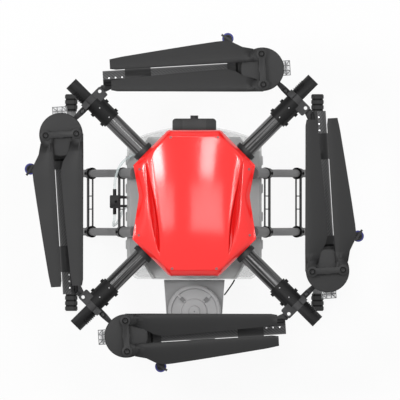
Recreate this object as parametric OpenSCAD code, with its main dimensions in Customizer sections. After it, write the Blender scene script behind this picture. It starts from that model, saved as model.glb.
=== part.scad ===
// Agricultural spray drone, folded: four arms hinge at the ends of fixed stub tubes and lie in a
// pinwheel round the body. +Z up, +Y is the front, the origin is on the ground below the centre.

/* [Arm tubes] */
// Outer diameter of the arm tubes
arm_d = 37; // [33:0.5:38]
// Wall of the arm tubes
arm_wall = 1.6; // [1:0.1:3]
// Height of the axis of the two lower arms
arm_z = 342; // [336:1:350]
// Step up to the two higher arms, so that the blades of neighbours pass each other
arm_step = 15; // [14:0.5:18]
// Where the fixed stub tubes start, from the centre
stub_in = 96; // [90:1:100]

/* [Fold joint] */
// Distance of the fold hinges from the centre, along the stub tube
hinge_u = 332; // [310:1:360]
// Distance of the hinge from the tube axis
hinge_off = 27; // [26:0.5:32]
// Angle from the folded to the spread arm
fold_angle = 131.5; // [120:0.5:135]
// Outer radius of the clamp sleeve
sleeve_r = 22; // [21:0.25:25]
// Length of the clamp sleeve, from its inner end to the hinge
sleeve_len = 66; // [55:1:80]
// Half the height of the gap between the two hinge plates
plate_gap = 13.5; // [10:0.25:14]
// Thickness of each hinge plate
plate_t = 5; // [3:0.25:6]
// Radius of the hollow hinge pin
pin_r = 5.2; // [4.5:0.1:6]
// Radius of the hole through the hinge pin
pin_bore_r = 4; // [2:0.1:4.2]
// Length of the cradle that takes the spread arm
cradle_len = 50; // [40:1:60]
// Distance of the lock lever's pin from the tube axis
lever_v = 33; // [32:0.5:36]
// Room between the open lock lever and the next arm's motor seat
lever_room = 3; // [2:0.25:6]

/* [Outer arm] */
// How much further the motor axis is from the hinge than the hinge is from the centre
hub_over = 41; // [30:1:50]
// Radius of the motor bell
bell_r = 49.5; // [46:0.5:52]
// Height of the motor bell
bell_h = 46; // [40:1:50]
// Height of the motor seat's top above the tube axis
seat_h = 24; // [23:0.5:30]
// Distance of the spray nozzle from the tube axis
nozzle_side = 75; // [65:1:90]
// Distance of the spray nozzle behind the motor axis
nozzle_back = 74; // [65:1:85]

/* [Propeller] */
// Distance of the blade bolts from the motor axis
bolt_off = 35; // [30:0.5:38]
// Length of a blade from its bolt to its tip
blade_len = 346; // [300:1:360]
// Thickness of the blade root between the hub plates
root_t = 6; // [5:0.25:7]
// Blade angle at the root, falling to tip_pitch
root_pitch = 11; // [6:0.5:12]
// Blade angle at the tip
tip_pitch = 5; // [3:0.5:6]
// How far the inner blade leans towards the tube when folded
blade_lean = 3.6; // [0:0.2:4]

/* [Body] */
// Front edge of the hood
hood_front = 166; // [158:1:172]
// Rear edge of the hood
hood_rear = 168; // [160:1:174]
// Half width of the hood at its shoulders
hood_shoulder = 139; // [130:1:142]
// Half width of the hood at its waist
hood_waist = 126; // [122:1:130]
// Half width of the hood at its hips
hood_hip = 141; // [132:1:144]
// Height of the hood's crown over its rim
hood_crown = 34; // [24:1:36]
// Wall of the hood
hood_wall = 2.4; // [1.5:0.1:3]
// Underside of the upper deck
deck_z = 381; // [380.5:0.5:384]
// Thickness of the decks
deck_t = 3; // [2:0.25:4]

/* [Tank] */
// Half width of the spray tank
tank_hw = 154; // [140:1:154]
// Half length of the spray tank
tank_hl = 175; // [160:1:180]
// Height of the tank's underside
tank_z = 112; // [100:1:140]
// Height of the tank's top
tank_top = 280; // [260:1:284]
// Wall of the tank
tank_wall = 4; // [3:0.25:6]
// Distance of the filler's centre behind the middle
fill_y = 249; // [246:1:256]
// Radius of the filler lid
lid_r = 61; // [56:0.5:62]

/* [Landing gear] */
// Diameter of the leg tubes
leg_d = 18; // [15:0.5:20]
// Distance of the legs before and behind the middle
leg_y = 67; // [60:1:74]
// Height of the legs' upper ends
leg_top = 350; // [340:1:354]
// Distance of the skids beyond the tank's sides
skid_out = 130; // [122:1:140]
// Diameter of the skid tubes
skid_d = 22; // [18:0.5:24]
// Half the length of a skid
skid_hl = 250; // [230:1:265]
// Diameter of the rubber skid caps
cap_d = 29; // [28:0.5:32]

/* [Fits] */
// Clearance of a fixed fit
fit_gap = 0.15; // [0.1:0.05:0.2]
// Clearance of a moving fit
run_gap = 0.3; // [0.3:0.05:0.4]
// Clearance of a pin or shaft that turns in its bore
pin_gap = 0.1; // [0.05:0.01:0.15]

/* [Hidden] */
$fn = 48;
ARMS = ["front_left", "rear_left", "rear_right", "front_right"];
ROOT_NODES = ["hood", "upper_deck", "lower_deck", "frame_sockets", "inner_tubes", "fold_sleeves",
    "hinge_pins", "tank", "legs", "leg_braces", "skids", "skid_caps", "front_camera", "battery",
    "flight_controller", "pump", "flow_meter", "spray_hose", "level_cable", "tank_lid"];
ARM_NODES = ["outer_tube_", "outer_knuckle_", "motor_seat_", "lamp_", "nozzle_", "motor_bell_",
    "prop_hub_", "blade_outer_", "blade_inner_", "lock_lever_"];

arm_r = arm_d / 2;
hub_u = hinge_u + hub_over;
stub_out = hinge_u - 16;
socket_in = stub_in + 4;
socket_out = 171;
socket_r = arm_r + 3.5;
plate_u = [-18.5, 8.5];
plate_v = 8;
tube_end = plate_u[1] + 0.6;
head_in = hinge_u - 10;
cradle_r = arm_r + 0.8;
cradle_out = sleeve_r + 0.5;
lip_start = 2;
lip_v = 8.8;
rib_h = 1.6;
boss_r = 7.5;
lever_u = hinge_u - 4;
lever_r = 7;
lever_t = 6.5;
lever_pin_r = 3;
strap_t = 3;
sleeve_end = 119;
strap_v = lip_v + 1.4;
stator_r = bell_r - 4.5;
seat_r = 38;
seat_lip = 4;
shaft_r = 8;
bell_z = seat_h + 9;
hub_z = bell_z + bell_h;
hub_plate_t = 3.5;
root_gap = root_t + 2 * run_gap;
prop_z = hub_z + hub_plate_t + root_gap / 2;
bolt_r = 4;
lug_r = 12;
lower_deck_z = tank_top;
lower_deck_top = lower_deck_z + deck_t;
upper_deck_top = deck_z + deck_t;
rim_z = upper_deck_top + 3;
wall_x = 112;
carbon = [0.12, 0.12, 0.13];
black = [0.16, 0.16, 0.17];
charcoal = [0.26, 0.26, 0.27];
grey = [0.42, 0.42, 0.43];
milky = [0.86, 0.87, 0.88];

// Places and shared shapes

function arm_angle(i) = 135 + 90 * i;
function arm_height(i) = arm_z + (i % 2 == 0 ? arm_step : 0);

module at_arm(i) {
    translate([0, 0, arm_height(i)])
        rotate(arm_angle(i))
            children();
}

module at_fold(i) {
    at_arm(i)
        translate([hinge_u, -hinge_off, 0])
            rotate(-fold_angle)
                children();
}

module at_hub(i) {
    at_fold(i)
        translate([hub_u, hinge_off, 0])
            children();
}

module each_arm() {
    for (i = [0:3])
        at_arm(i)
            children();
}

module each_leg() {
    for (side = [0, 1], y = [-leg_y, leg_y])
        mirror([side, 0, 0])
            translate([0, y, 0])
                children();
}

// A cylinder along X from x0 to x1
module rod(x0, x1, r) {
    translate([x0, 0, 0])
        rotate([0, 90, 0])
            cylinder(h = x1 - x0, r = r);
}

// A tube along X from x0 to x1
module pipe(x0, x1, r, bore) {
    difference() {
        rod(x0, x1, r);
        rod(x0 - 1, x1 + 1, bore);
    }
}

// A box from its low to its high corner
module block(low, high) {
    translate(low)
        cube(high - low);
}

// A block with round upright edges, centred on the Z axis
module rounded_block(size, r) {
    linear_extrude(size[2])
        rounded_rect(size[0], size[1], r);
}

module rounded_rect(w, l, r) {
    square([w - 2 * r, l], center = true);
    square([w, l - 2 * r], center = true);
    for (x = [-1, 1], y = [-1, 1])
        translate([x * (w / 2 - r), y * (l / 2 - r)])
            circle(r);
}

// Skins rings of points, with a closing point at each end
function flat(rings) = [for (ring = rings) each ring];
function strip_faces(n, a, b) = [for (j = [0:n - 1])
    each [[a + j, b + j, b + (j + 1) % n], [a + j, b + (j + 1) % n, a + (j + 1) % n]]];

module skin(rings, first, last) {
    n = len(rings[0]);
    count = len(rings);
    end = 1 + n * count;
    polyhedron(
        points = concat([first], flat(rings), [last]),
        faces = concat(
            [for (j = [0:n - 1]) [0, 1 + j, 1 + (j + 1) % n]],
            [for (k = [0:count - 2]) each strip_faces(n, 1 + n * k, 1 + n * (k + 1))],
            [for (j = [0:n - 1]) [end, end - n + (j + 1) % n, end - n + j]]));
}

// A round cord swept along its route
function unit(v) = v / norm(v);
function route_dir(p, k) = unit(p[min(k + 1, len(p) - 1)] - p[max(k - 1, 0)]);
function route_side(d) = unit(cross(abs(d[2]) > 0.9 ? [0, 1, 0] : [0, 0, 1], d));

module cord(route, r, sides = 8) {
    skin([for (k = [0:len(route) - 1])
            let (d = route_dir(route, k), s = route_side(d), up = cross(d, s))
                [for (j = [0:sides - 1])
                    route[k] + r * (cos(360 * j / sides) * s + sin(360 * j / sides) * up)]],
        route[0], route[len(route) - 1]);
}

// Points of a smooth curve through the route's own points
function curve_point(a, b, c, d, t) =
    0.5 * (2 * b + (c - a) * t + (2 * a - 5 * b + 4 * c - d) * t * t
        + (3 * b - a - 3 * c + d) * t * t * t);
function smooth_route(p, steps) = concat(
    [for (k = [0:len(p) - 2], s = [0:steps - 1])
        curve_point(p[max(k - 1, 0)], p[k], p[k + 1], p[min(k + 2, len(p) - 1)], s / steps)],
    [p[len(p) - 1]]);

// Hood

hood_nose = 60;
hood_tail = 56.5;
// Right-hand corners of the outline, from the nose to the tail
hood_half = [[hood_nose, hood_front], [hood_shoulder, 85], [hood_waist, 15.5], [hood_hip, -83],
    [hood_tail, -hood_rear]];
hood_corners = concat(hood_half, [for (k = [4:-1:0]) [-hood_half[k][0], hood_half[k][1]]]);
hood_skirt = 22;
arm_skirt = 5;
boss_in = 0.895;
post_r = 4;
hood_in = 1 - hood_wall / hood_waist;
edge_roll = 12;
corner_cut = 3.5;

function corner(k) = hood_corners[k];
// Half width of the outline at a distance from the middle
function hood_w(y) = lookup(y, [for (k = [4:-1:0]) [hood_half[k][1], hood_half[k][0]]]);
// Crease between the dome and the flange, and the leaf-shaped flute on the flange
leaf_out = 14.5;
leaf_wall = 0.22;
function ridge_x(y) = min(82.7 + 0.149 * y, hood_w(y) - 14);
function leaf_t(y) = max(0, min(1, (100 - y) / 215));
function leaf_w(y) = 4 + 15 * sin(180 * pow(leaf_t(y), 1.4));
function leaf_mid(y) = ridge_x(y) + min(leaf_out, 0.45 * (hood_w(y) - ridge_x(y)));
function leaf_x(y) = leaf_mid(y) - leaf_w(y) / 2;
function leaf_depth(y) = let (t = leaf_t(y)) (1.5 + 7 * t) * sqrt(max(0, sin(180 * t)));
function leaf(x, y) =
    let (u = (x - leaf_x(y)) / leaf_w(y))
        u <= 0 || u >= 1 ? 0 : leaf_depth(y) * (u < leaf_wall ? u / leaf_wall
            : pow((1 - u) / (1 - leaf_wall), 1.3));
function edge_fall(x, y) =
    let (e = min(0.75 * (hood_w(y) - x), hood_front - y, y + hood_rear))
        1 - pow(1 - max(0, min(1, e / edge_roll)), 2.2);
function dome(x, y) =
    hood_crown * (1 - pow(x / 152, 2.2)) * (1 - 0.45 * pow(abs(y - 8) / 176, 3))
        - 0.09 * max(0, x - ridge_x(y));
function hood_z(x, y) =
    rim_z + max(0, dome(abs(x), y)) * edge_fall(abs(x), y) - leaf(abs(x), y);

// Rows of points across the hood, closer at the corners of its outline
function span(a, b, n) = [for (k = [1:n]) a + (b - a) * k / n];
hood_rows = concat([-hood_rear, -hood_rear + corner_cut], span(-hood_rear + corner_cut, -83, 7),
    span(-83, 15.5, 9), span(15.5, 85, 7), span(85, hood_front - corner_cut, 7), [hood_front]);
// Shares of the dome, of the flute and of the flange where the columns stand
dome_cols = [0, 0.17, 0.34, 0.5, 0.65, 0.78, 0.89, 0.96, 1];
leaf_cols = [0, leaf_wall, 0.42, 0.68, 1];
flange_cols = [0.4, 0.72, 0.9, 1];
function row_w(y) = abs(y) >= min(hood_front, hood_rear) ? hood_w(y) - corner_cut : hood_w(y);
function half_row(y) =
    let (w = row_w(y), c = leaf_x(y) + leaf_w(y))
        concat([for (f = dome_cols) ridge_x(y) * f], [for (f = leaf_cols) leaf_x(y) + leaf_w(y) * f],
            [for (f = flange_cols) c + (w - c) * f]);
function full_row(y) = let (h = half_row(y)) concat([for (k = [len(h) - 1:-1:1]) -h[k]], h);
hood_cols = len(full_row(0));
hood_count = len(hood_rows);
hood_top = [for (y = hood_rows) each [for (x = full_row(y)) [x, y, hood_z(x, y)]]];
// Numbers of the points round the edge, anticlockwise
hood_edge = concat([for (c = [0:hood_cols - 1]) c],
    [for (r = [1:hood_count - 1]) r * hood_cols + hood_cols - 1],
    [for (c = [hood_cols - 2:-1:0]) (hood_count - 1) * hood_cols + c],
    [for (r = [hood_count - 2:-1:1]) r * hood_cols]);
function over_arm(y) = y > 85.5 && y < hood_front || y < -83.5 && y > -hood_rear;
function skirt(in) = [for (k = hood_edge)
    let (p = hood_top[k])
        [p[0] * in, p[1] * in, rim_z - (over_arm(p[1]) ? arm_skirt : hood_skirt)]];
function sheet_faces(first, turn) = [for (r = [0:hood_count - 2], c = [0:hood_cols - 2])
    let (a = first + r * hood_cols + c, b = a + hood_cols)
        each turn ? [[a, b + 1, a + 1], [a, b, b + 1]] : [[a, a + 1, b + 1], [a, b + 1, b]]];
function rim_faces(upper, lower) = [for (k = [0:len(upper) - 1])
    let (n = (k + 1) % len(upper))
        each [[upper[k], lower[k], lower[n]], [upper[k], lower[n], upper[n]]]];

module hood() {
    n = len(hood_top);
    m = len(hood_edge);
    inside = [for (p = hood_top) [p[0] * hood_in, p[1] * hood_in, p[2] - hood_wall]];
    outer_low = [for (k = [0:m - 1]) 2 * n + k];
    inner_low = [for (k = [0:m - 1]) 2 * n + m + k];
    inner_edge = [for (k = hood_edge) n + k];
    color([0.9, 0.16, 0.14])
        polyhedron(
            points = concat(hood_top, inside, skirt(1), skirt(hood_in)),
            faces = concat(sheet_faces(0, true), sheet_faces(n, false), rim_faces(outer_low, hood_edge),
                rim_faces(inner_low, outer_low), rim_faces(inner_edge, inner_low)));
}

// Body frame

module upper_deck() {
    color(carbon) {
        difference() {
            translate([0, 0, deck_z])
                linear_extrude(deck_t)
                    scale(0.965)
                        polygon(hood_corners);
            for (y = [-95, 95])
                translate([0, y, deck_z - 1])
                    cylinder(h = deck_t + 2, r = 18);
        }
        hood_posts();
    }
}

// Posts under the hood's eight screws, as high as the hood leaves room all round
function post_top(p) = min([for (a = [0:30:330])
    let (q = (p + (post_r + 2.5) * [cos(a), sin(a)]) / hood_in)
        hood_z(q[0], q[1])]) - hood_wall - 1.4;
module hood_posts() {
    for (k = [0, 1, 3, 4, 5, 6, 8, 9]) {
        p = corner(k) * boss_in;
        translate([p[0], p[1], upper_deck_top])
            cylinder(h = post_top(p) - upper_deck_top, r = post_r);
    }
}

tray_w = wall_x + 6;
tray_rear = 175;
tray_rear_w = 96;
wall_end = leg_y + 12;
tray_half = [[50, 184], [50, 150], [tray_w - 14, 150], [tray_w, 132], [tray_w, -137],
    [tray_rear_w, -tray_rear]];
tray_shape = concat(tray_half, [for (k = [5:-1:0]) [-tray_half[k][0], tray_half[k][1]]]);

module lower_deck() {
    color(charcoal) {
        translate([0, 0, lower_deck_z])
            linear_extrude(deck_t)
                polygon(tray_shape);
        for (side = [-1, 1])
            side_wall(side);
        rear_rim();
    }
}

// Upright wall that carries the legs, with lightening holes
module side_wall(side) {
    x = side * (wall_x + deck_t / 2);
    difference() {
        block([x - deck_t / 2, -wall_end, lower_deck_z], [x + deck_t / 2, wall_end, deck_z]);
        for (y = [-28, 28])
            translate([x, y, (lower_deck_top + deck_z) / 2])
                rotate([0, 90, 0])
                    cylinder(h = 2 * deck_t, r = 20, center = true);
    }
}

// Raised rim round the open rear of the tray
module rear_rim() {
    rim = 12;
    for (side = [-1, 1])
        hull() {
            for (p = [tray_half[4], tray_half[5]])
                translate([side * (p[0] - deck_t), p[1] + deck_t, lower_deck_z])
                    cylinder(h = rim, r = deck_t / 2, $fn = 16);
        }
    block([-tray_rear_w + deck_t, -tray_rear, lower_deck_z],
        [tray_rear_w - deck_t, -tray_rear + deck_t, lower_deck_z + rim]);
}

module frame_sockets() {
    color(black) {
        for (i = [0:3])
            at_arm(i)
                arm_socket(lower_deck_top - arm_height(i), deck_z - arm_height(i));
        each_leg()
            leg_socket();
    }
}

// Clamp block between the decks that holds a stub tube
module arm_socket(low, high) {
    foot = 54;
    half = 18;
    difference() {
        union() {
            block([socket_in, -half, low], [socket_in + foot, half, high]);
            rod(socket_in, socket_out - 11, socket_r);
            rod(socket_out - 10, socket_out, socket_r + 2);
            rod(socket_out - 11, socket_out - 9, socket_r - 1);
        }
        rod(socket_in - 1, socket_out + 1, arm_r + fit_gap);
        // windows that lighten the foot below the tube
        for (u = [socket_in + 15, socket_in + 39])
            translate([u, 0, (low - socket_r) / 2])
                rotate([90, 0, 0])
                    cylinder(h = 3 * half, r = 7, center = true);
    }
}

module inner_tubes() {
    color(carbon)
        each_arm()
            pipe(stub_in, stub_out, arm_r, arm_r - arm_wall);
}

// Fold joint, fixed half

module fold_sleeves() {
    color(black)
        each_arm()
            fold_sleeve();
}

module fold_sleeve() {
    inner_end = hinge_u - sleeve_len;
    difference() {
        union() {
            difference() {
                rod(inner_end, hinge_u + plate_u[1], sleeve_r);
                // room beside the hinge for the knuckle
                block([head_in, -sleeve_r - 1, -sleeve_r - 1],
                    [hinge_u + plate_u[1] + 1, -lip_v, sleeve_r + 1]);
            }
            hinge_plates();
            cradle();
            lever_ears();
            clamp_bolts(inner_end + 9);
            clamp_bolts(inner_end + 39);
        }
        rod(inner_end - 1, stub_out + fit_gap, arm_r + fit_gap);
        // slit of the split clamp
        block([inner_end - 1, -1, -sleeve_r - 1], [stub_out - 4, 1, 0]);
        translate([hinge_u, -hinge_off, 0])
            cylinder(h = 4 * sleeve_r, r = pin_r + fit_gap, center = true);
        translate([lever_u, lever_v, 0])
            cylinder(h = 4 * sleeve_r, r = lever_pin_r + fit_gap, center = true);
    }
}

module hinge_plates() {
    for (z = [-plate_gap - plate_t, plate_gap])
        translate([hinge_u, -hinge_off, z])
            linear_extrude(plate_t) {
                translate([plate_u[0], -plate_v + 4])
                    square([plate_u[1] - plate_u[0], hinge_off + plate_v - 4]);
                translate([plate_u[0] + 4, -plate_v])
                    square([plate_u[1] - plate_u[0] - 8, hinge_off]);
                for (u = [plate_u[0] + 4, plate_u[1] - 4])
                    translate([u, -plate_v + 4])
                        circle(4);
            }
}

// Half-round trough, open towards the hinge, with ribs on its closed side
module cradle() {
    start = hinge_u + plate_u[1];
    end = start + cradle_len;
    pitch = 4.8;
    lip_in = cradle_r - 0.4;
    difference() {
        union() {
            intersection() {
                rod(start - 1, end, cradle_out);
                block([start - 2, -lip_start, -sleeve_r - 2], [end + 1, sleeve_r + 2, sleeve_r + 2]);
            }
            for (z = [-cradle_out + 0.4, lip_in])
                block([start - 1, -lip_v, z], [end, 0, z + cradle_out - 0.4 - lip_in]);
            intersection() {
                union() {
                    for (k = [0:5])
                        rod(start + 3 + k * pitch, start + 5.4 + k * pitch, cradle_out + rib_h);
                }
                block([start, 10, -sleeve_r - 3], [end, sleeve_r + 3, sleeve_r + 3]);
            }
        }
        rod(start, end + 1, cradle_r);
    }
}

// Ears beside the joint for the lock lever's pin
module lever_ears() {
    ear_t = 4;
    for (z = [-lever_t - run_gap - ear_t, lever_t + run_gap])
        translate([lever_u, 0, z])
            linear_extrude(ear_t) {
                translate([-lever_r, sleeve_r - 9])
                    square([2 * lever_r, lever_v - sleeve_r + 9]);
                translate([0, lever_v])
                    circle(lever_r);
            }
}

// Heads of a clamp bolt on both sides of the sleeve
module clamp_bolts(u) {
    for (side = [-1, 1])
        translate([u, side * (sleeve_r + arm_r) / 2 + side * 1.2, 0])
            rotate([-90 * side, 0, 0])
                cylinder(h = 4.2, r = 4.2);
}

module hinge_pins() {
    color([0.7, 0.7, 0.72])
        each_arm() {
            translate([hinge_u, -hinge_off, 0])
                hinge_pin();
            translate([lever_u, lever_v, 0])
                cylinder(h = 2 * (lever_t + run_gap + 4), r = lever_pin_r, center = true);
        }
}

module hinge_pin() {
    half = plate_gap + plate_t;
    difference() {
        union() {
            cylinder(h = 2 * half, r = pin_r, center = true);
            for (z = [-half - 1.2, half])
                translate([0, 0, z])
                    cylinder(h = 1.2, r = pin_r + 1.4);
        }
        cylinder(h = 3 * half, r = pin_bore_r, center = true);
    }
}

// Place of the next arm's motor, seen from the lever's own arm
own_hub = [hinge_u + hub_u * cos(fold_angle) + hinge_off * sin(fold_angle),
    -hinge_off - hub_u * sin(fold_angle) + hinge_off * cos(fold_angle)];
next_hub = [-own_hub[1], own_hub[0]];
// The lever ends before the next arm's seat
lever_side = max(0, abs(next_hub[0] - lever_u) - lever_r);
lever_len = next_hub[1] - sqrt(max(0, pow(seat_r + seat_lip, 2) - pow(lever_side, 2))) - lever_room - lever_v;

module lock_lever(i) {
    color(charcoal)
        at_arm(i)
            translate([lever_u, lever_v, 0])
                difference() {
                    union() {
                        cylinder(h = 2 * lever_t, r = lever_r, center = true);
                        translate([0, 0, -lever_t + 0.5])
                            linear_extrude(2 * lever_t - 1)
                                polygon([[-lever_r, 0], [lever_r, 0], [lever_r, 5], [5, lever_len - 2],
                                    [3, lever_len], [-3, lever_len], [-5, lever_len - 2], [-lever_r, 5]]);
                    }
                    cylinder(h = 3 * lever_t, r = lever_pin_r + pin_gap, center = true);
                }
}

// Outer arm, drawn from its fold hinge with the tube along X

module outer_tube(i) {
    color(carbon)
        at_fold(i)
            translate([0, hinge_off, 0])
                pipe(tube_end, hub_u - 20, arm_r, arm_r - arm_wall);
}

module outer_knuckle(i) {
    color(black)
        at_fold(i) {
            knuckle();
            translate([0, hinge_off, 0])
                arm_sleeve();
        }
}

// Sleeve on the tube with a flat pad on its crown
module arm_sleeve() {
    r = arm_r + 1.8;
    difference() {
        union() {
            rod(plate_u[1] + cradle_len + 1.5, sleeve_end, r);
            translate([sleeve_end - 19, 0, 0])
                rounded_block([13, 12, r + 1.6], 2);
        }
        rod(0, sleeve_end + 1, arm_r + fit_gap);
    }
}

// Strap on the tube with the lug that turns on the hinge pin
module knuckle() {
    strap_end = plate_u[1] + cradle_len - 2;
    lug_h = plate_gap - run_gap;
    difference() {
        union() {
            intersection() {
                translate([0, hinge_off, 0])
                    rod(13, strap_end, arm_r + strap_t);
                block([0, -sleeve_r, -2 * sleeve_r], [strap_end, hinge_off - strap_v, 2 * sleeve_r]);
            }
            translate([0, 0, -lug_h])
                linear_extrude(2 * lug_h) {
                    circle(boss_r);
                    polygon([[0, -boss_r], [34, hinge_off - arm_r - strap_t + 1],
                        [34, hinge_off - arm_r + 2], [6, hinge_off - strap_v - 2], [-boss_r, 0]]);
                }
        }
        translate([0, hinge_off, 0])
            rod(-20, strap_end + 1, arm_r + fit_gap);
        cylinder(h = 4 * lug_h, r = pin_r + pin_gap, center = true);
    }
}

collar_back = 79;
groove = [60, 55];

module motor_seat(i) {
    color(charcoal)
        at_hub(i) {
            seat_body();
            stator();
        }
}

module seat_body() {
    collar_r = arm_r + 4;
    difference() {
        union() {
            rod(-collar_back, -groove[0], collar_r);
            rod(-groove[0] - 1, -groove[1] + 1, arm_r + 1.6);
            translate([0, 0, -collar_r])
                linear_extrude(collar_r + seat_h - 4) {
                    circle(seat_r);
                    polygon([[-groove[1], -collar_r], [-20, -seat_r + 5], [-20, seat_r - 5],
                        [-groove[1], collar_r]]);
                }
            translate([0, 0, seat_h - 4])
                cylinder(h = 4, r = seat_r + seat_lip);
        }
        rod(-collar_back - 1, -20, arm_r + fit_gap);
        // hollow below the motor, open at the bottom
        translate([8, 0, -collar_r - 1])
            cylinder(h = collar_r + 9, r = 20);
    }
}

module stator() {
    translate([0, 0, seat_h])
        difference() {
            union() {
                cylinder(h = 6, r = seat_r);
                cylinder(h = bell_z - seat_h + bell_h - 8, r = stator_r - 4);
                translate([0, 0, bell_z - seat_h + 4])
                    cylinder(h = bell_h - 16, r = stator_r);
            }
            translate([0, 0, 4])
                cylinder(h = bell_h + 20, r = shaft_r + pin_gap);
        }
}

lamp_w = 34;
lamp_reach = 64;

module lamp(i) {
    color(milky)
        at_hub(i)
            translate([0, 0, -10])
                linear_extrude(24)
                    difference() {
                        union() {
                            translate([0, -lamp_w / 2])
                                square([lamp_reach - 5, lamp_w]);
                            translate([0, -lamp_w / 2 + 5])
                                square([lamp_reach, lamp_w - 10]);
                            for (y = [-1, 1])
                                translate([lamp_reach - 5, y * (lamp_w / 2 - 5)])
                                    circle(5);
                        }
                        circle(seat_r + fit_gap);
                    }
}

module nozzle(i) {
    color([0.12, 0.16, 0.34])
        at_hub(i)
            nozzle_set();
}

// Boom from the seat's collar, valve body, cap and spray tip
module nozzle_set() {
    boom_r = 4.5;
    collar_r = arm_r + 4;
    root = [-(collar_back + groove[0]) / 2, collar_r - 1, 0];
    tip = [-nozzle_back, nozzle_side, 0];
    along = tip - root;
    difference() {
        translate(root)
            rotate([0, 0, atan2(along[1], along[0])])
                rod(0, norm(along), boom_r);
        rod(-collar_back - 5, -groove[0] + 5, collar_r + fit_gap);
    }
    translate(tip) {
        translate([0, 0, -40])
            cylinder(h = 36, r = 9);
        translate([0, 0, -6])
            cylinder(h = 14, r = 13);
        translate([0, 0, -48])
            cylinder(h = 9, r = 11);
        translate([0, 0, -58])
            cylinder(h = 11, r = 6);
    }
    translate(tip + [0, 0, 4])
        rotate(145)
            block([-12, -2.5, 0], [17, 2.5, 6]);
}

// Rotor

module motor_bell(i) {
    top_t = 4;
    wall = 3;
    color(charcoal)
        at_hub(i)
            translate([0, 0, bell_z])
                difference() {
                    union() {
                        rotate_extrude()
                            polygon([[0, bell_h - top_t], [bell_r - wall, bell_h - top_t],
                                [bell_r - wall, 0], [bell_r, 0], [bell_r, bell_h - 2],
                                [bell_r - 2, bell_h], [0, bell_h]]);
                        translate([0, 0, -4])
                            cylinder(h = bell_h, r = shaft_r);
                    }
                    for (k = [0:17])
                        rotate(20 * k)
                            block([bell_r - 8, -3, 9], [bell_r + 4, 3, 30]);
                }
}

module prop_hub(i) {
    color(charcoal)
        at_hub(i)
            translate([0, 0, hub_z]) {
                linear_extrude(hub_plate_t)
                    dog_bone();
                translate([0, 0, hub_plate_t + root_gap])
                    linear_extrude(hub_plate_t)
                        dog_bone();
                cylinder(h = 2 * hub_plate_t + root_gap, r = 9);
                for (y = [-bolt_off, bolt_off])
                    translate([0, y, 0]) {
                        cylinder(h = 2 * hub_plate_t + root_gap, r = bolt_r);
                        translate([0, 0, 2 * hub_plate_t + root_gap])
                            bolt_head();
                    }
            }
}

module bolt_head() {
    difference() {
        cylinder(h = 3, r = 7);
        translate([0, 0, 1])
            cylinder(h = 3, r = 3.2, $fn = 6);
    }
}

module dog_bone() {
    square([14, 2 * bolt_off], center = true);
    for (y = [-bolt_off, bolt_off])
        translate([0, y])
            circle(lug_r);
}

// Blade, drawn from its bolt with the tip along -X and the wide side towards +Y

lead_y = -16.2;
// Length from the bolt and half width of the flat root
root_len = 28;
root_w = 9;
// Trailing edge: share of the length, distance from the blade's axis
trail = [[0.05, 12.5], [0.1, 16], [0.14, 21], [0.18, 30], [0.215, 35], [0.26, 35.4], [0.45, 29.5],
    [0.71, 20.5], [0.93, 12.5], [1, 8.5]];
blade_sections = 20;
blade_start = 0.05;

function tip_round(s) = s > 0.985 ? 2.5 * pow((s - 0.985) / 0.015, 2) : 0;
function blade_pitch(s) =
    (tip_pitch + (root_pitch - tip_pitch) * pow(1 - s, 1.2)) * min(1, (s - blade_start) * 12);
function blade_thick(s) = root_t * (0.97 - 0.65 * min(1, s * 1.6));
// One section: a flat-bottomed wing profile, turned by the blade angle
profile = [[0, 0], [0.02, 0.33], [0.08, 0.65], [0.18, 0.92], [0.3, 1], [0.5, 0.86], [0.7, 0.55],
    [0.86, 0.26], [1, 0], [0.75, -0.09], [0.45, -0.15], [0.15, -0.12]];
function blade_section(s) =
    let (lead = lead_y + tip_round(s), back = lookup(s, trail),
        mid = (lead + back) / 2, a = blade_pitch(s), t = blade_thick(s))
        [for (q = profile)
            let (y = lead + (back - lead) * q[0], z = t * (q[1] - 0.45))
                [-blade_len * s, y + (z * sin(a)), z * cos(a) - (y - mid) * tan(a)]];

module blade() {
    sections = [for (k = [0:blade_sections])
        blade_section(blade_start + (1 - blade_start) * pow(k / blade_sections, 0.85))];
    difference() {
        union() {
            translate([0, 0, -root_t / 2])
                linear_extrude(root_t) {
                    circle(lug_r);
                    translate([-root_len + root_w, lead_y])
                        square([root_len - root_w, root_w - lead_y]);
                    translate([-root_len + root_w, 0])
                        circle(root_w);
                }
            skin(sections, mean(sections[0]), mean(sections[blade_sections]));
        }
        cylinder(h = 4 * root_t, r = bolt_r + pin_gap, center = true);
    }
}

function mean(pts) = [for (c = [0:2]) [for (p = pts) p[c]] * [for (p = pts) 1] / len(pts)];

module at_bolt(i, side) {
    at_hub(i)
        translate([0, side * bolt_off, prop_z])
            children();
}

module blade_outer(i) {
    color(charcoal)
        at_bolt(i, 1)
            blade();
}

module blade_inner(i) {
    color(charcoal)
        at_bolt(i, -1)
            rotate(-blade_lean)
                blade();
}

// Tank

tank_bow_r = 348;
sump_in = 30;
sump_h = 48;
top_roll = 6;
neck_back = 315;
neck_top = 262;
neck_low = 196;
mouth_r = lid_r - 13;
lid_z = neck_top + 4;
lid_h = 22;

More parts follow.
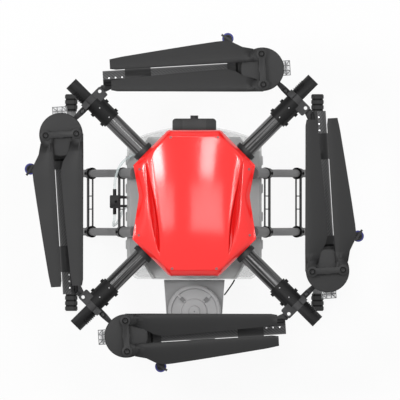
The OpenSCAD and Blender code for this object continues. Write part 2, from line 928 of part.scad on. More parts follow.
// Plan with a bowed front and cut rear corners, drawn in by a wall
function tank_bow(x) = tank_bow_r - sqrt(tank_bow_r * tank_bow_r - x * x);
module tank_plan(in) {
    hw = tank_hw - in;
    hl = tank_hl - in;
    bow_w = hw - 6;
    bow_end = hl - tank_bow(bow_w);
    polygon(concat(
        [for (k = [-8:8]) [bow_w * k / 8, hl - tank_bow(bow_w * k / 8)]],
        [[hw - 1.5, bow_end - 4], [hw, bow_end - 10], [hw, -hl + 32], [hw - 4, -hl + 22],
            [hw - 16, -hl + 4], [hw - 24, -hl], [-hw + 24, -hl], [-hw + 16, -hl + 4],
            [-hw + 4, -hl + 22], [-hw, -hl + 32], [-hw, bow_end - 10], [-hw + 1.5, bow_end - 4]]));
}

// Drawn in towards its sump at the bottom and rounded off at the top
module tank_form(in) {
    slice = 0.5;
    hull() {
        translate([0, 0, tank_z + in])
            linear_extrude(slice)
                tank_plan(in + sump_in);
        translate([0, 0, tank_z + sump_h])
            linear_extrude(tank_top - tank_z - sump_h - top_roll)
                tank_plan(in);
        translate([0, 0, tank_top - in - slice])
            linear_extrude(slice)
                tank_plan(in + top_roll);
    }
}

module neck_plan(in) {
    polygon([[-71 + in, -tank_hl + 20], [-63 + in, -fill_y - 16], [-46 + in, -neck_back + in],
        [46 - in, -neck_back + in], [63 - in, -fill_y - 16], [71 - in, -tank_hl + 20]]);
}

module tank() {
    color(milky, 0.8)
        difference() {
            union() {
                tank_form(0);
                translate([0, 0, neck_low])
                    linear_extrude(neck_top - neck_low)
                        neck_plan(0);
                translate([0, -fill_y, neck_top])
                    cylinder(h = 14, r = mouth_r + 5);
                for (y = [-96, -32, 32, 96])
                    tank_rib(y);
            }
            tank_form(tank_wall);
            translate([0, 0, neck_low + tank_wall])
                linear_extrude(neck_top - neck_low - 2 * tank_wall)
                    neck_plan(tank_wall);
            translate([0, -fill_y, neck_low + 20])
                cylinder(h = neck_top, r = mouth_r);
        }
}

// Upright stiffening rib on both sides
module tank_rib(y) {
    for (x = [-tank_hw + 2, tank_hw - 2])
        translate([x, y, tank_z + sump_h])
            linear_extrude(tank_top - tank_z - sump_h - 24)
                rounded_rect(10, 22, 3);
}

module tank_lid() {
    color(milky)
        translate([0, -fill_y, 0])
            difference() {
                union() {
                    rotate_extrude()
                        polygon([[0, lid_z + 8], [mouth_r + 5.5, lid_z + 8], [mouth_r + 5.5, lid_z],
                            [lid_r, lid_z], [lid_r, lid_z + lid_h - 3], [lid_r - 3, lid_z + lid_h],
                            [lid_r - 8, lid_z + lid_h], [lid_r - 10, lid_z + lid_h - 4],
                            [30, lid_z + lid_h - 4], [28, lid_z + lid_h - 1],
                            [14, lid_z + lid_h - 1], [12, lid_z + lid_h + 2], [0, lid_z + lid_h + 2]]);
                    // grip bars across the sunk ring
                    for (a = [45:90:315])
                        rotate(a)
                            block([29, -2.4, lid_z + lid_h - 5], [lid_r - 8.5, 2.4, lid_z + lid_h - 0.4]);
                }
                // rim that sits on the neck
                translate([0, 0, lid_z - 1])
                    cylinder(h = neck_top + 14 - lid_z + 1 + run_gap, r = mouth_r + 5 + run_gap);
            }
}

// Landing gear, drawn for the +X side

leg_in = tank_hw - 18;
skid_x = tank_hw + skid_out;
leg_foot = [skid_x, skid_d / 2 + (cap_d - skid_d) / 2];
leg_drop = leg_foot - [leg_in, leg_top];
leg_tilt = atan2(leg_drop[1], leg_drop[0]);
leg_len = norm(leg_drop);
skid_z = cap_d / 2;
// Distances of the two brace clamps down the leg
brace_at = [76, 256];

// Lays the X axis down the leg
module along_leg() {
    translate([leg_in, 0, leg_top])
        rotate([0, -leg_tilt, 0])
            children();
}

module legs() {
    color(grey)
        each_leg()
            difference() {
                along_leg()
                    pipe(0, leg_len, leg_d / 2, leg_d / 2 - 1.5);
                translate([skid_x, 0, skid_z])
                    rotate([90, 0, 0])
                        cylinder(h = 4 * leg_d, r = skid_d / 2 + fit_gap, center = true);
            }
}

// Socket on the side wall that takes the top of a leg
module leg_socket() {
    socket = leg_d / 2 + 4;
    difference() {
        union() {
            along_leg()
                rod(-3, 14, socket);
            along_leg()
                rod(13, brace_at[0] - 10, socket - 1.3);
            block([wall_x + deck_t, -socket + 1, leg_top - 44], [leg_in + 4, socket - 1, leg_top - 6]);
        }
        along_leg()
            rod(0, brace_at[0], leg_d / 2 + fit_gap);
        block([0, -50, 0], [wall_x + deck_t, 50, leg_top + 50]);
    }
}

module leg_braces() {
    color(black)
        for (side = [0, 1])
            mirror([side, 0, 0])
                for (s = brace_at)
                    brace(s);
}

// Two clamps joined by a ladder of two rails and two ties
module brace(s) {
    clamp = leg_d / 2 + 3;
    for (y = [-leg_y, leg_y])
        translate([0, y, 0])
            along_leg()
                pipe(s - 8, s + 8, clamp, leg_d / 2 + fit_gap);
    p = [leg_in, leg_top] + s * unit(leg_drop);
    reach = leg_y - leg_d / 2 - 1;
    for (rail = [[5, 0, 3], [-5.5, 0, 2]])
        translate([p[0] + rail[0], 0, p[1] + rail[1]])
            rotate([90, 0, 0])
                cylinder(h = 2 * reach, r = rail[2], center = true);
    for (y = [-15, 15])
        translate([p[0], y, p[1]])
            rod(-6, 5, 1.2);
}

module skids() {
    color(grey)
        for (side = [-1, 1])
            translate([side * skid_x, 0, skid_z])
                rotate([90, 0, 0])
                    difference() {
                        cylinder(h = 2 * skid_hl - 8, r = skid_d / 2, center = true);
                        cylinder(h = 2 * skid_hl, r = skid_d / 2 - 1.5, center = true);
                    }
}

// Ribbed rubber caps with a flat underside
module skid_caps() {
    cap_l = 40;
    color([0.1, 0.1, 0.1])
        for (x = [-skid_x, skid_x], end = [-1, 1])
            translate([x, end * skid_hl, skid_z])
                rotate([90 * end, 0, 0])
                    skid_cap(cap_l);
}

module skid_cap(cap_l) {
    difference() {
        union() {
            cylinder(h = cap_l, r = cap_d / 2 - 1.5);
            for (k = [0:2])
                translate([0, 0, 2 + 12 * k])
                    cylinder(h = 8, r = cap_d / 2);
            // flat pad that the drone stands on
            translate([-6, -cap_d / 2, 0])
                cube([12, 6, cap_l]);
            translate([-6, cap_d / 2 - 6, 0])
                cube([12, 6, cap_l]);
        }
        translate([0, 0, 4])
            cylinder(h = cap_l, r = skid_d / 2 + fit_gap);
    }
}

// Equipment

camera_size = [100, 36, 46];
camera_front = 192;
camera_eye = 26;
light_x = 33;

// Camera box with two sunk headlights and the lens barrel between them
module front_camera() {
    color(black)
        translate([0, camera_front, lower_deck_top])
            difference() {
                union() {
                    translate([0, -camera_size[1] / 2, 0])
                        rounded_block(camera_size, 8);
                    translate([0, -6, camera_eye])
                        rotate([-90, 0, 0])
                            cylinder(h = 13, r = 9);
                }
                for (x = [-light_x, light_x])
                    translate([x, -5, camera_eye])
                        rotate([-90, 0, 0])
                            cylinder(h = 6, r1 = 10, r2 = 13.2);
                translate([0, 2, camera_eye])
                    rotate([-90, 0, 0])
                        cylinder(h = 6, r = 6.5);
            }
}

battery_size = [98, 148, 82];
controller_size = [46, 66, 16];

module battery() {
    color(charcoal)
        translate([0, -10, lower_deck_top])
            rounded_block(battery_size, 6);
}

module flight_controller() {
    color(black)
        translate([0, 20, upper_deck_top]) {
            rounded_block(controller_size, 3);
            translate([0, 0, controller_size[2]])
                rounded_block([34, 44, 4], 3);
        }
}

module pump() {
    color(black)
        translate([0, 30, 0]) {
            translate([0, 0, tank_z - 34])
                rounded_block([62, 62, 34], 10);
            translate([0, 30, tank_z - 20])
                rotate([-90, 0, 0])
                    cylinder(h = 62, r = 17);
            translate([-50, -14, tank_z - 20])
                rod(0, 22, 6);
        }
}

meter_x = -leg_in - brace_at[0] * unit(leg_drop)[0] - 15.5;
meter_y = 2;
meter_size = [22, 30, 24];
port_l = 14;
port_end = meter_size[1] / 2 + port_l;
brace_low = leg_top + brace_at[0] * unit(leg_drop)[1];
meter_z = brace_low + 3;

// Meter on the outer rail of the upper brace, with two brackets across both rails
module flow_meter() {
    color(black)
        translate([meter_x, meter_y, meter_z]) {
            rounded_block(meter_size, 3);
            translate([0, 0, meter_size[2]])
                cylinder(h = 3, r = 8.5);
            for (side = [-1, 1])
                translate([0, side * (meter_size[1] / 2 - 1), 11])
                    rotate([-90 * side, 0, 0])
                        cylinder(h = port_l + 1, r = 4);
            for (y = [-10, 10])
                block([0, y - 3, 0.1], [28, y + 3, 2.4]);
        }
}

hose_r = 3;
port_z = meter_z + 11;
// The hose from the meter's front end over the leg to the tank's top, and from its rear end to the pump
hose_front = [[meter_x, meter_y + port_end + 0.4, port_z], [meter_x + 1, 48, port_z + 1],
    [meter_x + 4, 64, port_z + 4], [meter_x + 10, 80, port_z + 4], [meter_x + 20, 94, port_z + 2],
    [meter_x + 33, 103, port_z - 2], [meter_x + 43, 109, port_z - 6], [meter_x + 46, 111, tank_top + 3],
    [meter_x + 46, 111, tank_top + 0.5]];
hose_rear = [[meter_x, meter_y - port_end - 0.4, port_z], [meter_x - 1, -40, port_z - 2],
    [meter_x - 3, -49, port_z - 12], [meter_x - 2, -53, port_z - 32], [meter_x + 4, -48, 225],
    [meter_x + 12, -34, 180], [meter_x + 20, -16, 135], [meter_x + 44, 2, 105], [-98, 14, 93],
    [-50.5, 16, tank_z - 20]];

module spray_hose() {
    color(milky) {
        cord(smooth_route(hose_front, 4), hose_r);
        cord(smooth_route(hose_rear, 4), hose_r);
    }
}

cable_r = 1.6;
cable_route = [[92, -tray_rear - 1.2, lower_deck_z + 6], [88, -184, lower_deck_z + 4],
    [80, -196, lower_deck_z - 10], [73, -206, lower_deck_z - 26], [69, -211, lower_deck_z - 34]];

module level_cable() {
    color([0.08, 0.08, 0.08])
        cord(smooth_route(cable_route, 4), cable_r);
}

// The whole drone, one node at a time

hood();
upper_deck();
lower_deck();
frame_sockets();
inner_tubes();
fold_sleeves();
hinge_pins();
tank();
legs();
leg_braces();
skids();
skid_caps();
front_camera();
battery();
flight_controller();
pump();
flow_meter();
spray_hose();
level_cable();
tank_lid();
for (i = [0:3]) {
    outer_tube(i);
    outer_knuckle(i);
    motor_seat(i);
    lamp(i);
    nozzle(i);
    motor_bell(i);
    prop_hub(i);
    blade_outer(i);
    blade_inner(i);
    lock_lever(i);
}
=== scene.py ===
"""Looks of the folded spray drone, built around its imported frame. Lengths are in metres."""
import math

import bpy
from mathutils import Matrix, Vector


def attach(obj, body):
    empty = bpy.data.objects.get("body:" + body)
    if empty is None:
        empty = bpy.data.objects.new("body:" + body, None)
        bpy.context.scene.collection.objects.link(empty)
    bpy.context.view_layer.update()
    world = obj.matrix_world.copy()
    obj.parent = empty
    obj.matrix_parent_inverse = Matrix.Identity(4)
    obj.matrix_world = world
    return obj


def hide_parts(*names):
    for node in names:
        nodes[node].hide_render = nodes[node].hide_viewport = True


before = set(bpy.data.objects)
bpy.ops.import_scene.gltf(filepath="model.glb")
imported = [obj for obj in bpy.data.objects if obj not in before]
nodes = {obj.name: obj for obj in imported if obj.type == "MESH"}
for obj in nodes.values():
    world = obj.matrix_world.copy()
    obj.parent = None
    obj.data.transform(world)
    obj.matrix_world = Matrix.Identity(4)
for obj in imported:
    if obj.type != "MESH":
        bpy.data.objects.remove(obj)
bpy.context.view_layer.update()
bpy.ops.object.select_all(action="DESELECT")

MM = 0.001
ARMS = ["front_left", "rear_left", "rear_right", "front_right"]

# Sizes that the solids have, in millimetres
ARM_Z, ARM_STEP, ARM_R = 342, 15, 18.5
HINGE_U, HINGE_OFF, FOLD_ANGLE = 332, 27, 131.5
STRAP_END = 56
PLATE_U, PLATE_EDGE = (-18.5, 8.5), 12
LAMP_W, LAMP_REACH, LAMP_LOW, LAMP_TOP = 34, 64, -10, 14
SLEEVE_R = 22
HUB_U, SEAT_H, BELL_R, BELL_H = 373, 24, 49.5, 46
BELL_Z = SEAT_H + 9
STATOR_R = BELL_R - 4.5
NOZZLE_BACK, NOZZLE_SIDE = 74, 75
LEAF_START, LEAF_LENGTH, LEAF_OUT = 100, 215, 14.5
HOOD_CORNERS = [(60, 166), (139, 85), (126, 15.5), (141, -83), (56.5, -168),
                (-56.5, -168), (-141, -83), (-126, 15.5), (-139, 85), (-60, 166)]
LEG_IN, LEG_TOP, LEG_Y, LEG_D = 136, 350, 67, 18
SKID_X, SKID_HL, CAP_D = 284, 250, 29
BRACE_AT = (76, 256)
FILL_Y = 249
PORT_X, PORT_Z = -182.174, 294.465
LID_TOP, LID_PAD_R = 283.8, 38.5
HEADLIGHT_X, LENS_Z = 33, 309
CAP_BEAT, CAP_RIB = 12, (2, 10)

# Where a colour changes along a part, in millimetres; the tray, camera, tank-end and flute limits bound
# painted light and shade
SADDLE_EDGE, SADDLE_BACK = 24, 7
TRAY_WALL_X, LEG_HEAD_X, CAMERA_MIDDLE = 117, 168, 27
SOCKET_X, SOCKET_Y = 116.5, 83
NOZZLE_CAP_UP = 8.2
STRAP_SIDE = -1.2
TANK_FRONT, TANK_REAR, TANK_NECK = (80, 145), (-115, -150), -177.5
FLUTE_HALF, FLUTE_LEAST, FLUTE_SLOPE, FLUTE_X = 7.5, 1.0, 0.149, 82.7


# ---- Places ----

def turned(degrees):
    return Matrix.Rotation(math.radians(degrees), 4, "Z")


def moved(x, y, z):
    return Matrix.Translation((x * MM, y * MM, z * MM))


def arm_height(i):
    return ARM_Z + (ARM_STEP if i % 2 == 0 else 0)


def at_arm(i):
    return moved(0, 0, arm_height(i)) @ turned(135 + 90 * i)


def at_fold(i):
    return at_arm(i) @ moved(HINGE_U, -HINGE_OFF, 0) @ turned(-FOLD_ANGLE)


def at_hub(i):
    return at_fold(i) @ moved(HUB_U, HINGE_OFF, 0)


# ---- Camera, light and floor ----

PHOTO_SCALE = 2.28      # millimetres a pixel at the height of the arms
PHOTO_SIDE = 400        # pixels
CAMERA_X, CAMERA_Y, CAMERA_Z = 0.013, 0.0059, 30.0
ARM_PLANE = 0.37
SENSOR = 36.0
LAMP_PLANE = 3.4        # height of the softboxes whose mirror images lie on the hood
HOOD_AIM, FILL_AIM = (0, 0, 0.38), (0, 0, 0.35)
DIFFUSE_LEVEL, SEEN_LEVEL = 0.4, 1.0
FLOOR_GLOW = 0.9        # the rest of the floor's look is its shaded paint, with the shadow


def make_camera():
    data = bpy.data.cameras.new("photo_camera")
    camera = bpy.data.objects.new("photo_camera", data)
    bpy.context.scene.collection.objects.link(camera)
    camera.location = (CAMERA_X, CAMERA_Y, CAMERA_Z)
    data.sensor_width = SENSOR
    data.lens = SENSOR * (CAMERA_Z - ARM_PLANE) / (PHOTO_SCALE * MM * PHOTO_SIDE)
    data.clip_start, data.clip_end = 0.1, 60
    bpy.context.scene.camera = camera


def softbox(name, place, aim, width, depth, power):
    data = bpy.data.lights.new(name, "AREA")
    data.shape = "RECTANGLE"
    data.size, data.size_y, data.energy = width, depth, power
    light = bpy.data.objects.new(name, data)
    bpy.context.scene.collection.objects.link(light)
    back = (Vector(place) - Vector(aim)).normalized()
    side = (Vector((1, 0, 0)) - back * back.x).normalized()
    turn = Matrix((side, back.cross(side), back)).transposed().to_4x4()
    light.matrix_world = Matrix.Translation(place) @ turn


def make_lights():
    """Softboxes placed so that each one's mirror image falls where the photo's hood is bright."""
    for name, x, y, width, depth, power in (
            ("left_box", -1.57, 0.56, 0.6, 0.84, 40), ("right_box", 0.46, 0.66, 0.52, 0.94, 20),
            ("right_wash", 0.5, -0.12, 1.2, 0.4, 6.0), ("left_wash", -1.15, -0.1, 0.75, 0.32, 3.4),
            ("right_ridge_front", 2.6, 0.5, 0.24, 0.5, 13), ("right_ridge_rear", 2.2, 0.05, 0.3, 0.4, 5),
            ("left_ridge", -2.4, 0.15, 0.2, 0.4, 8), ("left_flange", -3.6, 0.3, 0.3, 0.45, 18)):
        softbox(name, (x, y, LAMP_PLANE), HOOD_AIM, width, depth, power)
    softbox("front_fill", (0.3, 2.3, 2.5), FILL_AIM, 2.0, 1.4, 20)


def maths(tree, operation, a, b=None, c=None):
    """A Math node on sockets or numbers; returns its output."""
    node = tree.nodes.new("ShaderNodeMath")
    node.operation = operation
    for slot, value in zip(node.inputs, (a, b, c)):
        if value is None:
            continue
        if isinstance(value, (int, float)):
            slot.default_value = value
        else:
            tree.links.new(value, slot)
    return node.outputs[0]


def seen_directly(tree):
    """1 for what the camera, a mirror or clear plastic sees, 0 for diffuse light."""
    path = tree.nodes.new("ShaderNodeLightPath").outputs
    seen = maths(tree, "MAXIMUM", path["Is Camera Ray"], path["Is Glossy Ray"])
    return maths(tree, "MAXIMUM", seen, path["Is Transmission Ray"])


def make_world():
    """White round the object for what the camera and the gloss see, softer for the diffuse light."""
    world = bpy.data.worlds.new("studio_white")
    bpy.context.scene.world = world
    world.use_nodes = True
    tree = world.node_tree
    back = tree.nodes["Background"]
    level = tree.nodes.new("ShaderNodeMapRange")
    level.inputs["To Min"].default_value = DIFFUSE_LEVEL
    level.inputs["To Max"].default_value = SEEN_LEVEL
    tree.links.new(seen_directly(tree), level.inputs["Value"])
    tree.links.new(level.outputs["Result"], back.inputs["Strength"])
    back.inputs["Color"].default_value = (1, 1, 1, 1)


def make_floor():
    """A wide white disc just under the skids."""
    bpy.ops.mesh.primitive_circle_add(vertices=96, radius=14, fill_type="NGON", location=(0, 0, -0.0005))
    floor = bpy.context.object
    floor.name = "studio_floor"
    paint = bpy.data.materials.new("floor_white")
    paint.use_nodes = True
    tree = paint.node_tree
    tree.nodes.clear()
    out = tree.nodes.new("ShaderNodeOutputMaterial")
    mix = tree.nodes.new("ShaderNodeMixShader")
    matt = tree.nodes.new("ShaderNodeBsdfDiffuse")
    glow = tree.nodes.new("ShaderNodeEmission")
    matt.inputs["Color"].default_value = (0.82, 0.82, 0.82, 1)
    glow.inputs["Strength"].default_value = 1.0
    link = tree.links.new
    link(maths(tree, "MULTIPLY", seen_directly(tree), FLOOR_GLOW), mix.inputs["Fac"])
    link(matt.outputs["BSDF"], mix.inputs[1])
    link(glow.outputs["Emission"], mix.inputs[2])
    link(mix.outputs["Shader"], out.inputs["Surface"])
    floor.data.materials.append(paint)


make_camera()
make_lights()
make_world()
make_floor()
bpy.context.scene.view_settings.view_transform = "Standard"


# ---- Shared effects, as shader node groups ----

def new_group(name, inputs, outputs):
    """A node group with named sockets: each entry is (name, socket kind, default)."""
    group = bpy.data.node_groups.new(name, "ShaderNodeTree")
    for label, kind, value in inputs:
        socket = group.interface.new_socket(name=label, in_out="INPUT", socket_type=kind)
        if value is not None:
            socket.default_value = value
    for label, kind in outputs:
        group.interface.new_socket(name=label, in_out="OUTPUT", socket_type=kind)
    start = group.nodes.new("NodeGroupInput")
    end = group.nodes.new("NodeGroupOutput")
    return group, start, end


def grain_group():
    """Moulded or painted surface: soft clouds of tone and a fine grain of height."""
    group, start, end = new_group("surface_grain",
        [("Vector", "NodeSocketVector", None), ("Cloud Scale", "NodeSocketFloat", 14.0),
         ("Grain Scale", "NodeSocketFloat", 900.0)],
        [("Tone", "NodeSocketFloat"), ("Height", "NodeSocketFloat")])
    cloud = group.nodes.new("ShaderNodeTexNoise")
    cloud.inputs["Detail"].default_value = 4
    fine = group.nodes.new("ShaderNodeTexNoise")
    fine.inputs["Detail"].default_value = 2
    link = group.links.new
    link(start.outputs["Vector"], cloud.inputs["Vector"])
    link(start.outputs["Cloud Scale"], cloud.inputs["Scale"])
    link(start.outputs["Vector"], fine.inputs["Vector"])
    link(start.outputs["Grain Scale"], fine.inputs["Scale"])
    tone = maths(group, "ADD", maths(group, "MULTIPLY", cloud.outputs["Fac"], 0.8),
                 maths(group, "MULTIPLY", fine.outputs["Fac"], 0.2))
    link(tone, end.inputs["Tone"])
    link(fine.outputs["Fac"], end.inputs["Height"])
    return group


def weave_group():
    """Two-over-two twill: the vector's X runs along the warp, Y along the weft."""
    group, start, end = new_group("carbon_twill",
        [("Vector", "NodeSocketVector", None), ("Tow", "NodeSocketFloat", 0.002)],
        [("Tone", "NodeSocketFloat"), ("Height", "NodeSocketFloat")])
    split = group.nodes.new("ShaderNodeSeparateXYZ")
    group.links.new(start.outputs["Vector"], split.inputs["Vector"])
    tow = start.outputs["Tow"]
    u = maths(group, "DIVIDE", split.outputs["X"], tow)
    v = maths(group, "DIVIDE", split.outputs["Y"], tow)
    step = maths(group, "ADD", maths(group, "FLOOR", u), maths(group, "FLOOR", v))
    warp_up = maths(group, "LESS_THAN", maths(group, "FLOORED_MODULO", step, 4.0), 2.0)
    across_u = maths(group, "SINE", maths(group, "MULTIPLY", maths(group, "FRACT", v), math.pi))
    across_v = maths(group, "SINE", maths(group, "MULTIPLY", maths(group, "FRACT", u), math.pi))
    crown = group.nodes.new("ShaderNodeMix")
    group.links.new(warp_up, crown.inputs["Factor"])
    group.links.new(across_v, crown.inputs["A"])
    group.links.new(across_u, crown.inputs["B"])
    height = maths(group, "POWER", crown.outputs["Result"], 0.5)
    tone = maths(group, "MULTIPLY_ADD", warp_up, 0.45, maths(group, "MULTIPLY", height, 0.55))
    group.links.new(tone, end.inputs["Tone"])
    group.links.new(height, end.inputs["Height"])
    return group


def brushed_group():
    """Metal drawn or brushed along the vector's X."""
    group, start, end = new_group("brushed_lines",
        [("Vector", "NodeSocketVector", None), ("Fineness", "NodeSocketFloat", 1400.0)],
        [("Tone", "NodeSocketFloat"), ("Height", "NodeSocketFloat")])
    squeeze = group.nodes.new("ShaderNodeVectorMath")
    squeeze.operation = "MULTIPLY"
    squeeze.inputs[1].default_value = (0.02, 1, 1)
    lines = group.nodes.new("ShaderNodeTexNoise")
    lines.inputs["Detail"].default_value = 3
    link = group.links.new
    link(start.outputs["Vector"], squeeze.inputs[0])
    link(squeeze.outputs["Vector"], lines.inputs["Vector"])
    link(start.outputs["Fineness"], lines.inputs["Scale"])
    link(lines.outputs["Fac"], end.inputs["Tone"])
    link(lines.outputs["Fac"], end.inputs["Height"])
    return group


GRAIN, WEAVE, BRUSHED = grain_group(), weave_group(), brushed_group()


# ---- Materials ----

def shade(rgb, factor):
    return tuple(min(1.0, c * factor) for c in rgb)


class Finish:
    """A material in the making: its tree, its shader and the object coordinates."""

    def __init__(self, name, rough, metal=0.0, specular=0.3):
        self.material = bpy.data.materials.new(name)
        self.material.use_nodes = True
        self.tree = self.material.node_tree
        self.shader = self.tree.nodes["Principled BSDF"]
        self.shader.inputs["Roughness"].default_value = rough
        self.shader.inputs["Metallic"].default_value = metal
        self.shader.inputs["Specular IOR Level"].default_value = specular
        self.place = self.tree.nodes.new("ShaderNodeTexCoord").outputs["Object"]

    def mapped(self, matrix):
        """Object coordinates seen from a place on the object."""
        node = self.tree.nodes.new("ShaderNodeMapping")
        node.vector_type = "POINT"
        inverse = matrix.inverted()
        node.inputs["Location"].default_value = inverse.to_translation()
        node.inputs["Rotation"].default_value = inverse.to_euler("XYZ")
        self.tree.links.new(self.place, node.inputs["Vector"])
        return node.outputs["Vector"]

    def maths(self, operation, *values):
        return maths(self.tree, operation, *values)

    def axes(self, vector=None):
        """The three coordinates, by name."""
        split = self.tree.nodes.new("ShaderNodeSeparateXYZ")
        self.tree.links.new(vector or self.place, split.inputs["Vector"])
        return split.outputs

    def eased(self, value, start, stop):
        """0 at the start, 1 at the stop, with a soft step between them."""
        step = self.tree.nodes.new("ShaderNodeMapRange")
        step.interpolation_type = "SMOOTHSTEP"
        step.inputs["From Min"].default_value = start
        step.inputs["From Max"].default_value = stop
        self.tree.links.new(value, step.inputs["Value"])
        return step.outputs["Result"]

    def use(self, group, vector=None, **values):
        node = self.tree.nodes.new("ShaderNodeGroup")
        node.node_tree = group
        self.tree.links.new(vector or self.place, node.inputs["Vector"])
        for label, value in values.items():
            node.inputs[label.replace("_", " ")].default_value = value
        return node.outputs

    def colours(self, factor, dark, light):
        mix = self.tree.nodes.new("ShaderNodeMix")
        mix.data_type = "RGBA"
        self.tree.links.new(factor, mix.inputs["Factor"])
        for slot, value in ((mix.inputs[6], dark), (mix.inputs[7], light)):
            if isinstance(value, bpy.types.NodeSocket):
                self.tree.links.new(value, slot)
            else:
                slot.default_value = (*value, 1)
        return mix.outputs[2]

    def base(self, socket):
        self.tree.links.new(socket, self.shader.inputs["Base Color"])

    def gloss(self, factor, low, high):
        span = self.tree.nodes.new("ShaderNodeMapRange")
        span.inputs["To Min"].default_value = low
        span.inputs["To Max"].default_value = high
        self.tree.links.new(factor, span.inputs["Value"])
        self.tree.links.new(span.outputs["Result"], self.shader.inputs["Roughness"])

    def bump(self, height, strength, depth):
        node = self.tree.nodes.new("ShaderNodeBump")
        node.inputs["Strength"].default_value = strength
        node.inputs["Distance"].default_value = depth
        self.tree.links.new(height, node.inputs["Height"])
        self.tree.links.new(node.outputs["Normal"], self.shader.inputs["Normal"])


def moulded(name, rgb, rough, grain=900.0, spread=0.1, height=0.00008, specular=0.3):
    """Grained plastic or paint in one colour with soft variation."""
    f = Finish(name, rough, specular=specular)
    grains = f.use(GRAIN, Cloud_Scale=14.0, Grain_Scale=grain)
    f.base(f.colours(grains["Tone"], shade(rgb, 1 - spread), shade(rgb, 1 + spread)))
    f.gloss(grains["Tone"], max(0.04, rough - 0.08), min(1, rough + 0.08))
    f.bump(grains["Height"], 0.35, height)
    return f.material


def drawn_metal(name, rgb, rough):
    """Bare metal with fine lines along X."""
    f = Finish(name, rough, 1.0)
    lines = f.use(BRUSHED)
    f.base(f.colours(lines["Tone"], shade(rgb, 0.8), shade(rgb, 1.1)))
    f.gloss(lines["Tone"], rough - 0.06, rough + 0.1)
    f.bump(lines["Height"], 0.2, 0.00003)
    return f.material


def flat_carbon():
    """Twill plate seen from above."""
    f = Finish("deck_carbon_twill", 0.35)
    twill = f.use(WEAVE, f.mapped(turned(45)), Tow=0.0022)
    f.base(f.colours(twill["Tone"], (0.008, 0.008, 0.009), (0.045, 0.045, 0.048)))
    f.bump(twill["Height"], 0.25, 0.0001)
    return f.material


def tube_carbon(i):
    """Fine weave wound round the outer tube of one arm, black where its hinge strap lies."""
    f = Finish(f"outer_tube_carbon_{ARMS[i]}", 0.4, specular=0.2)
    at = f.axes(f.mapped(at_fold(i) @ moved(0, HINGE_OFF, 0)))
    round_it = f.maths("MULTIPLY", f.maths("ARCTAN2", at["Y"], at["Z"]), ARM_R * MM)
    join = f.tree.nodes.new("ShaderNodeCombineXYZ")
    f.tree.links.new(at["X"], join.inputs["X"])
    f.tree.links.new(round_it, join.inputs["Y"])
    twill = f.use(WEAVE, join.outputs["Vector"], Tow=0.0019)
    woven = f.colours(twill["Tone"], (0.002, 0.002, 0.002), (0.11, 0.11, 0.112))
    beside = f.maths("LESS_THAN", at["Y"], STRAP_SIDE * MM)
    strapped = f.maths("MULTIPLY", beside, f.maths("LESS_THAN", at["X"], STRAP_END * MM))
    f.base(f.colours(strapped, woven, (0.008, 0.008, 0.0085)))
    f.gloss(twill["Tone"], 0.38, 0.5)
    f.bump(twill["Height"], 0.3, 0.00008)
    return f.material


def stub_carbon():
    """Lengthwise fibres under a clear coat on the four fixed tubes."""
    f = Finish("stub_tube_carbon", 0.3, specular=0.2)
    f.shader.inputs["Coat Weight"].default_value = 0.5
    f.shader.inputs["Coat Roughness"].default_value = 0.07
    fibres = f.use(BRUSHED, f.mapped(turned(45)), Fineness=230.0)
    cross = f.use(BRUSHED, f.mapped(turned(-45)), Fineness=230.0)
    at = f.axes()
    side = f.maths("GREATER_THAN", f.maths("MULTIPLY", at["X"], at["Y"]), 0.0)
    pick = f.tree.nodes.new("ShaderNodeMix")
    f.tree.links.new(side, pick.inputs["Factor"])
    f.tree.links.new(cross["Tone"], pick.inputs["A"])
    f.tree.links.new(fibres["Tone"], pick.inputs["B"])
    streaks = f.eased(pick.outputs["Result"], 0.42, 0.62)
    f.base(f.colours(streaks, (0.005, 0.005, 0.005), (0.13, 0.13, 0.132)))
    f.bump(pick.outputs["Result"], 0.1, 0.00004)
    return f.material


def lacquer():
    """Glossy red hood: deep colour, a thin clear coat, and in the two flutes less coat and a darker red
    painted in as shade.
    """
    f = Finish("hood_lacquer_red", 0.38, specular=0.0)
    f.shader.inputs["Coat Roughness"].default_value = 0.13
    grains = f.use(GRAIN, Cloud_Scale=5.0, Grain_Scale=260.0)
    at = f.axes()
    down = f.maths("DIVIDE", f.maths("SUBTRACT", LEAF_START * MM, at["Y"]), LEAF_LENGTH * MM)
    along = f.tree.nodes.new("ShaderNodeClamp")
    f.tree.links.new(down, along.inputs["Value"])
    late = f.maths("POWER", along.outputs[0], 1.4)
    swell = f.maths("SINE", f.maths("MULTIPLY", late, math.pi))
    half = f.maths("MULTIPLY_ADD", swell, FLUTE_HALF * MM, FLUTE_LEAST * MM)
    middle = f.maths("MULTIPLY_ADD", at["Y"], FLUTE_SLOPE, (FLUTE_X + LEAF_OUT) * MM)
    off = f.maths("ABSOLUTE", f.maths("SUBTRACT", f.maths("ABSOLUTE", at["X"]), middle))
    flute = f.eased(f.maths("DIVIDE", off, half), 1.1, 0.75)
    # Painted shade: the two flutes get a darker red, and their coat is thinner.
    flute_dull_and_shaded = f.maths("MULTIPLY", flute, f.maths("GREATER_THAN", swell, 0.02))
    plain = f.colours(grains["Tone"], (0.84, 0.012, 0.012), (0.92, 0.022, 0.02))
    f.base(f.colours(flute_dull_and_shaded, plain, (0.58, 0.003, 0.003)))
    f.tree.links.new(f.maths("MULTIPLY_ADD", flute_dull_and_shaded, -0.85, 1.0), f.shader.inputs["Coat Weight"])
    f.bump(grains["Height"], 0.12, 0.00004)
    return f.material


